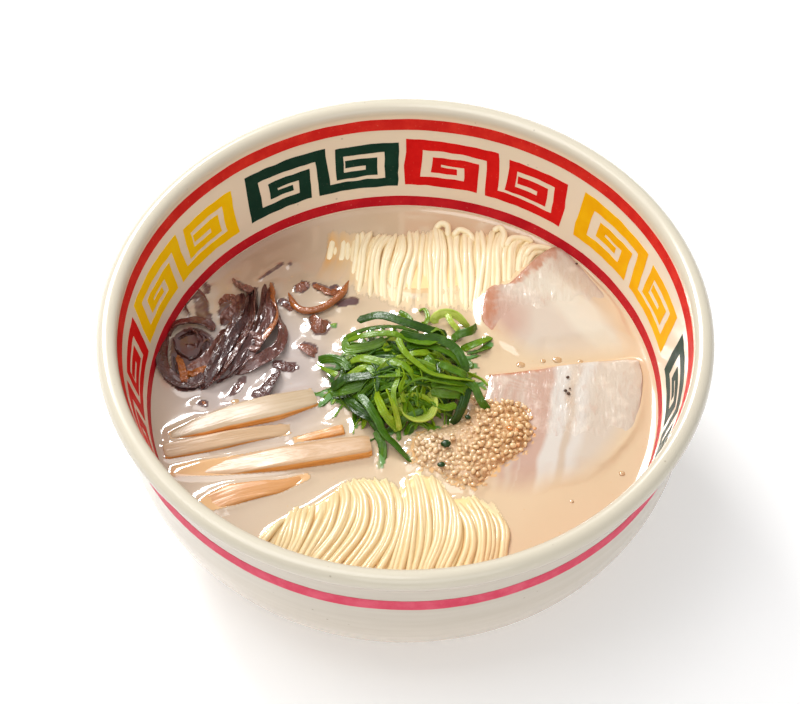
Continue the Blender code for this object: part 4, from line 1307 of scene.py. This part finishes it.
# Pale spots on the seeds are painted highlights.
pale_glint = seed_coat.grain(0.8, 2.0).between(0.45, 0.7)
left = seed_coat.axes()[0].between(6.0, 34.0, 0.55, 0.0)
seed_colour = seed_coat.mix(left, seed_colour, srgb(222, 200, 164))
seed_coat.use("Base Color", seed_coat.mix(pale_glint * 0.35, seed_colour, srgb(250, 226, 182)))
seed_coat.bump(seed_coat.grain(0.4), 0.1, 0.6)
SESAME = ((20.4, 2), (28.8, 1.8), (36.5, 0.4), (42.3, -3.6), (43.2, -10.8), (42.4, -17),
          (36.6, -24.2), (30.4, -28.4), (24.4, -35.6), (16.5, -33.4), (9.6, -29), (4.0, -26.4),
          (1.6, -20.6), (3.3, -14.8), (12.2, -11), (20.5, -6.1))
SEED_ROOM = 1.72                            # the least distance between two seeds' middles
TRIES = 5200                                # half of them for the lower layer


def edge_distance(spot, loop):
    """How far a spot is inside a closed loop; negative outside."""
    inside = False
    nearest = 1e9
    for a, b in zip(loop, loop[1:] + loop[:1]):
        if (a.y > spot.y) != (b.y > spot.y):
            crossing = (b.x - a.x) * (spot.y - a.y) / (b.y - a.y) + a.x
            if spot.x < crossing:
                inside = not inside
        run = b - a
        share = min(1.0, max(0.0, (spot - a).dot(run) / run.length_squared))
        nearest = min(nearest, (a + run * share - spot).length)
    return nearest if inside else -nearest


def seed_shape():
    bm = bmesh.new()
    bmesh.ops.create_uvsphere(bm, u_segments=7, v_segments=5, radius=1.0)
    for vert in bm.verts:
        pinch = 1.0 - 0.32 * (vert.co.z + 1.0) / 2.0
        vert.co = Vector((vert.co.x * pinch * 1.1, vert.co.y * pinch * 0.8, vert.co.z * 1.16))
    mesh = bpy.data.meshes.new("seed")
    bm.to_mesh(mesh)
    bm.free()
    return mesh


seed = seed_shape()
loop = smooth_loop(SESAME, 48)
bm = strand_mesh()
laid = []
for attempt in range(TRIES):
    spot = Vector((chance.uniform(1.0, 44.0), chance.uniform(-37.0, 3.0), 0.0))
    depth = edge_distance(spot, loop)
    if depth < -0.9 or (depth < 0.8 and chance.random() < 0.5):
        continue
    layer = 1 if attempt > TRIES // 2 else 0
    height = 0.2 + 2.6 * (1.0 - math.exp(-max(0.0, depth) / 3.2)) + 0.5 * noise.noise(spot / 4.0)
    centre = spot + UP * (BROTH + height + 1.0 * layer)
    if layer and depth < 2.0 or any((centre - other).length < SEED_ROOM for other in laid):
        continue
    laid.append(centre)
    first = len(bm.verts)
    bm.from_mesh(seed)
    bm.verts.ensure_lookup_table()
    tones = bm.verts.layers.float["tone"]
    turn = (Matrix.Rotation(chance.uniform(0.0, math.tau), 3, "Z")
            @ Matrix.Rotation(chance.gauss(1.45, 0.35), 3, "X")
            @ Matrix.Rotation(chance.gauss(0.0, 0.5), 3, "Z"))
    size = chance.uniform(0.88, 1.1)
    rosy = 0.3 * (spot.x > 34.0) * chance.random()
    level = min(1.0, chance.uniform(0.1, 0.85) + rosy)
    for vert in bm.verts[first:]:
        vert.co = centre + turn @ (vert.co * size)
        vert[tones] = level
print("seeds laid:", len(laid))
piece(bm, "sesame_seeds", seed_coat, ["sesame_heap"], sharp=70.0)
piece(mound(SESAME, ((0.9, -5), (0.98, -3), (0.97, -0.4), (0.9, 1.2), (0.7, 2.4), (0.3, 2.8))),
      "sesame_core", seed_coat, ["sesame_heap"])

# %% [markdown]
# ## Small things
# A few grains of pepper lie on the pork, three bits of scallion in the sesame, and flat eyes of
# fat float on the broth. Each is a squashed and dented sphere of 84 faces.

# %% Pepper, bits and eyes of fat
def flecks(places, tall):
    """Small lumps at (x, y, height over the broth, radius); tall squashes them."""
    whole = strand_mesh()
    for x, y, height, size in places:
        bm = bmesh.new()
        bmesh.ops.create_uvsphere(bm, u_segments=12, v_segments=7, radius=size)
        for vert in bm.verts:
            rough = 1.0 + 0.25 * noise.noise(vert.co * 1.3 + Vector((x, y, 0.0)))
            vert.co = Vector((x + vert.co.x * rough, y + vert.co.y * 0.8 * rough,
                              BROTH + height + vert.co.z * tall))
        ball = bpy.data.meshes.new("ball")
        bm.to_mesh(ball)
        bm.free()
        whole.from_mesh(ball)
    return whole


pepper = Finish("pepper", Roughness=0.6)
pepper.use("Base Color", pepper.mix(pepper.grain(0.5), srgb(60, 40, 26), srgb(96, 66, 42)))
PEPPER = ((54.6, 8.9, 2.6, 0.55), (53.7, 3.5, 2.3, 0.6), (54.7, 2.4, 2.2, 0.65),
          (55.2, 4.4, 2.3, 0.4), (58.8, 58.0, 2.6, 0.5))
BITS = ((13.8, -20.6, 4.6, 1.7), (12.3, -28.4, 3.6, 1.3), (21.0, -9.6, 4.4, 1.0))
EYES = ((39.0, 15.6, 0.1, 1.5), (51.4, 18.0, 0.1, 1.8), (46.6, 17.4, 0.1, 1.0),
        (59.2, 17.4, 0.1, 1.0), (71.6, -28.6, 0.1, 1.1), (-56.4, -1.6, 0.2, 1.7),
        (-22.0, -26.0, 0.1, 1.1), (63.4, -24.0, 0.1, 0.6), (55.0, -40.0, 0.1, 0.7))
piece(flecks(PEPPER, 0.7), "pepper_grains", pepper, ["pork_slice_front"])
piece(flecks(BITS, 0.5), "scallion_bits", leaf, ["scallion_heap"])
fat_gold = Finish("eyes_of_fat", Roughness=0.1, Coat_Weight=1.0, Coat_Roughness=0.02)
golden_tint = fat_gold.mix(fat_gold.grain(3.0), srgb(190, 152, 108), srgb(204, 168, 124))
fat_gold.use("Base Color", golden_tint)
piece(flecks(EYES, 0.34), "fat_eyes", fat_gold, ["broth"])

# %% [markdown]
# ## Broth
# Milky pork broth hides everything more than a millimetre or two under its surface, so the
# surface itself can carry that look. It is one fine sheet. Each of its vertices asks how near the
# next food or wall is, and climbs against it as a wetting liquid does: that narrow slope catches
# the window as a white line. The single noodles are left out of that, because a shore round each
# of them would break up into dots; their core stands for them. Each vertex also looks straight
# down and takes on some of the colour of what lies close below.

# %% Broth surface
COLOURS = {"front_noodles": srgb(246, 226, 176), "back_noodles": srgb(236, 212, 170),
           "front_noodle_core": srgb(230, 190, 130), "back_noodle_core": srgb(222, 188, 140),
           "wood_ear": srgb(96, 66, 62), "bamboo": srgb(222, 178, 126),
           "scallion": srgb(96, 140, 70), "sesame": srgb(220, 176, 120)}
WALL_CLIMB = 1.0                            # how high the broth climbs at the wall, in millimetres
FOOD_CLIMB = 1.1                            # and at the food
WALL_SLOPE = 1.6                            # how far out from the wall the slope reaches
FOOD_SLOPE = 1.5
CLEARNESS = 1.5                             # how deep one still sees into the broth


def sunken_colour(name, spot):
    """The colour that a piece lends the broth above it."""
    if name == "pork_back":
        return back_slice_colour(spot)
    if name == "pork_front":
        return front_slice_colour(spot)
    if name == "back_noodles":
        return blend(srgb(218, 166, 98), COLOURS[name], (spot.x + 27.0) / 12.0)
    return next(colour for key, colour in COLOURS.items() if name.startswith(key))


contents = [made for made in bpy.context.scene.objects
            if made.name.startswith(tuple(COLOURS) + ("pork_back", "pork_front"))
            and made.name not in packed]


def tree_of(pieces):
    """All faces of the pieces for nearest and downward looks, and the piece each belongs to."""
    corners, sides, owners = [], [], []
    for made in pieces:
        base = len(corners)
        corners += [vert.co / MM for vert in made.data.vertices]
        sides += [tuple(base + index for index in face.vertices) for face in made.data.polygons]
        owners += [made.name] * len(made.data.polygons)
    return BVHTree.FromPolygons(corners, sides), owners


food, owners = tree_of(contents)
shores, _ = tree_of([made for made in contents if not made.name.endswith("_noodles")])
print("the broth looks at", len(owners), "faces of", ", ".join(made.name for made in contents))


def disc(count, radius):
    """A grid drawn round into a disc, so that its faces stay even."""
    bm = bmesh.new()
    bmesh.ops.create_grid(bm, x_segments=count, y_segments=count, size=1.0)
    for vert in bm.verts:
        x, y = vert.co.x, vert.co.y
        vert.co = Vector((x * math.sqrt(1 - y * y / 2), y * math.sqrt(1 - x * x / 2), 0.0)) * radius
    return bm


SLICES = {"pork_back": smooth_loop(SLICE_BACK, 32), "pork_front": smooth_loop(SLICE_FRONT, 32)}
bm = disc(290, 1.0)
tint = bm.verts.layers.float_color.new("tint")
for vert in bm.verts:
    reach = vert.co.length
    spot = Vector((vert.co.x, vert.co.y, 0.0)) * wall_radius(BROTH) + UP * BROTH
    wall_gap = wall_radius(BROTH) * (1.0 - reach)
    climb = WALL_CLIMB * math.exp(-wall_gap / WALL_SLOPE)
    place, _, _, gap_here = shores.find_nearest(spot, 9.0)
    if place is not None:
        breaks = min(1.0, max(0.0, (place.z - BROTH + 0.9) / 0.8))
        climb = max(climb, FOOD_CLIMB * breaks * math.exp(-gap_here / FOOD_SLOPE))
    ripple = 0.05 * noise.noise(spot / 9.0)
    below, _, index, depth = food.ray_cast(spot + UP * 0.9, -UP, 8.0)
    colour = (0.0, 0.0, 0.0, 0.0)
    if below is not None:
        depth = max(0.0, depth - 0.9)
        clear = math.exp(-depth / CLEARNESS)
        if owners[index] in SLICES:
            rim = edge_distance(Vector((spot.x, spot.y, 0.0)), SLICES[owners[index]])
            clear *= min(1.0, max(0.0, rim / 7.0))
        colour = (*sunken_colour(owners[index], below), clear)
    vert[tint] = colour
    vert.co = Vector((spot.x, spot.y, BROTH + climb + ripple))
for _ in range(5):
    bmesh.ops.smooth_vert(bm, verts=bm.verts, factor=0.5, use_axis_x=False, use_axis_y=False,
                          use_axis_z=True)
ring = [edge for edge in bm.edges if edge.is_boundary]
for vert in {vert for edge in ring for vert in edge.verts}:
    flat = Vector((vert.co.x, vert.co.y)).normalized() * (wall_radius(vert.co.z) + 0.2)
    vert.co.x, vert.co.y = flat
fresh, ring = ring_extruded(bm, ring)
for vert in fresh:
    vert.co.z = BROTH - 2.5
    flat = Vector((vert.co.x, vert.co.y)).normalized() * (wall_radius(BROTH - 2.5) + 0.2)
    vert.co.x, vert.co.y = flat
bmesh.ops.holes_fill(bm, edges=[edge for edge in bm.edges if edge.is_boundary])
outward(bm)

soup = Finish("milky_broth", Roughness=0.14, Coat_Weight=0.8, Coat_Roughness=0.02)
x, y, z = soup.axes()
lies = soup.attribute("tint")
milk_left = soup.mix(soup.grain(22.0, 2.0), srgb(198, 177, 152), srgb(206, 187, 164))
milk_right = soup.mix(soup.grain(22.0, 2.0), srgb(211, 185, 148), srgb(217, 193, 159))
milk = soup.mix(x.between(-60.0, 20.0), milk_left, milk_right)
# Towards the back left wall the broth is painted darker brown: painted shade of the wall.
far = ((x + 52.0) ** 2.0 + (y - 62.0) ** 2.0) ** 0.5
milk = soup.mix(far.between(4.0, 36.0, 0.75, 0.0), milk, srgb(160, 124, 98))
by_ear = ((x + 50.0) ** 2.0 + (y - 10.0) ** 2.0) ** 0.5
milk = soup.mix(by_ear.between(14.0, 40.0, 0.85, 0.0), milk, srgb(184, 172, 168))
fat_eye = soup.cells(2.6).between(0.1, 0.16, 1.0, 0.0) * soup.grain(9.0).between(0.56, 0.66)
milk = soup.mix(fat_eye * 0.35, milk, srgb(214, 172, 118))
soup.use("Base Color", soup.mix(Value(soup, lies.outputs["Alpha"]), milk, lies.outputs["Color"]))
soup.bump(soup.grain(5.0, 2.0), 0.12, 0.35)
piece(bm, "broth_surface", soup, ["broth"], sharp=60.0)
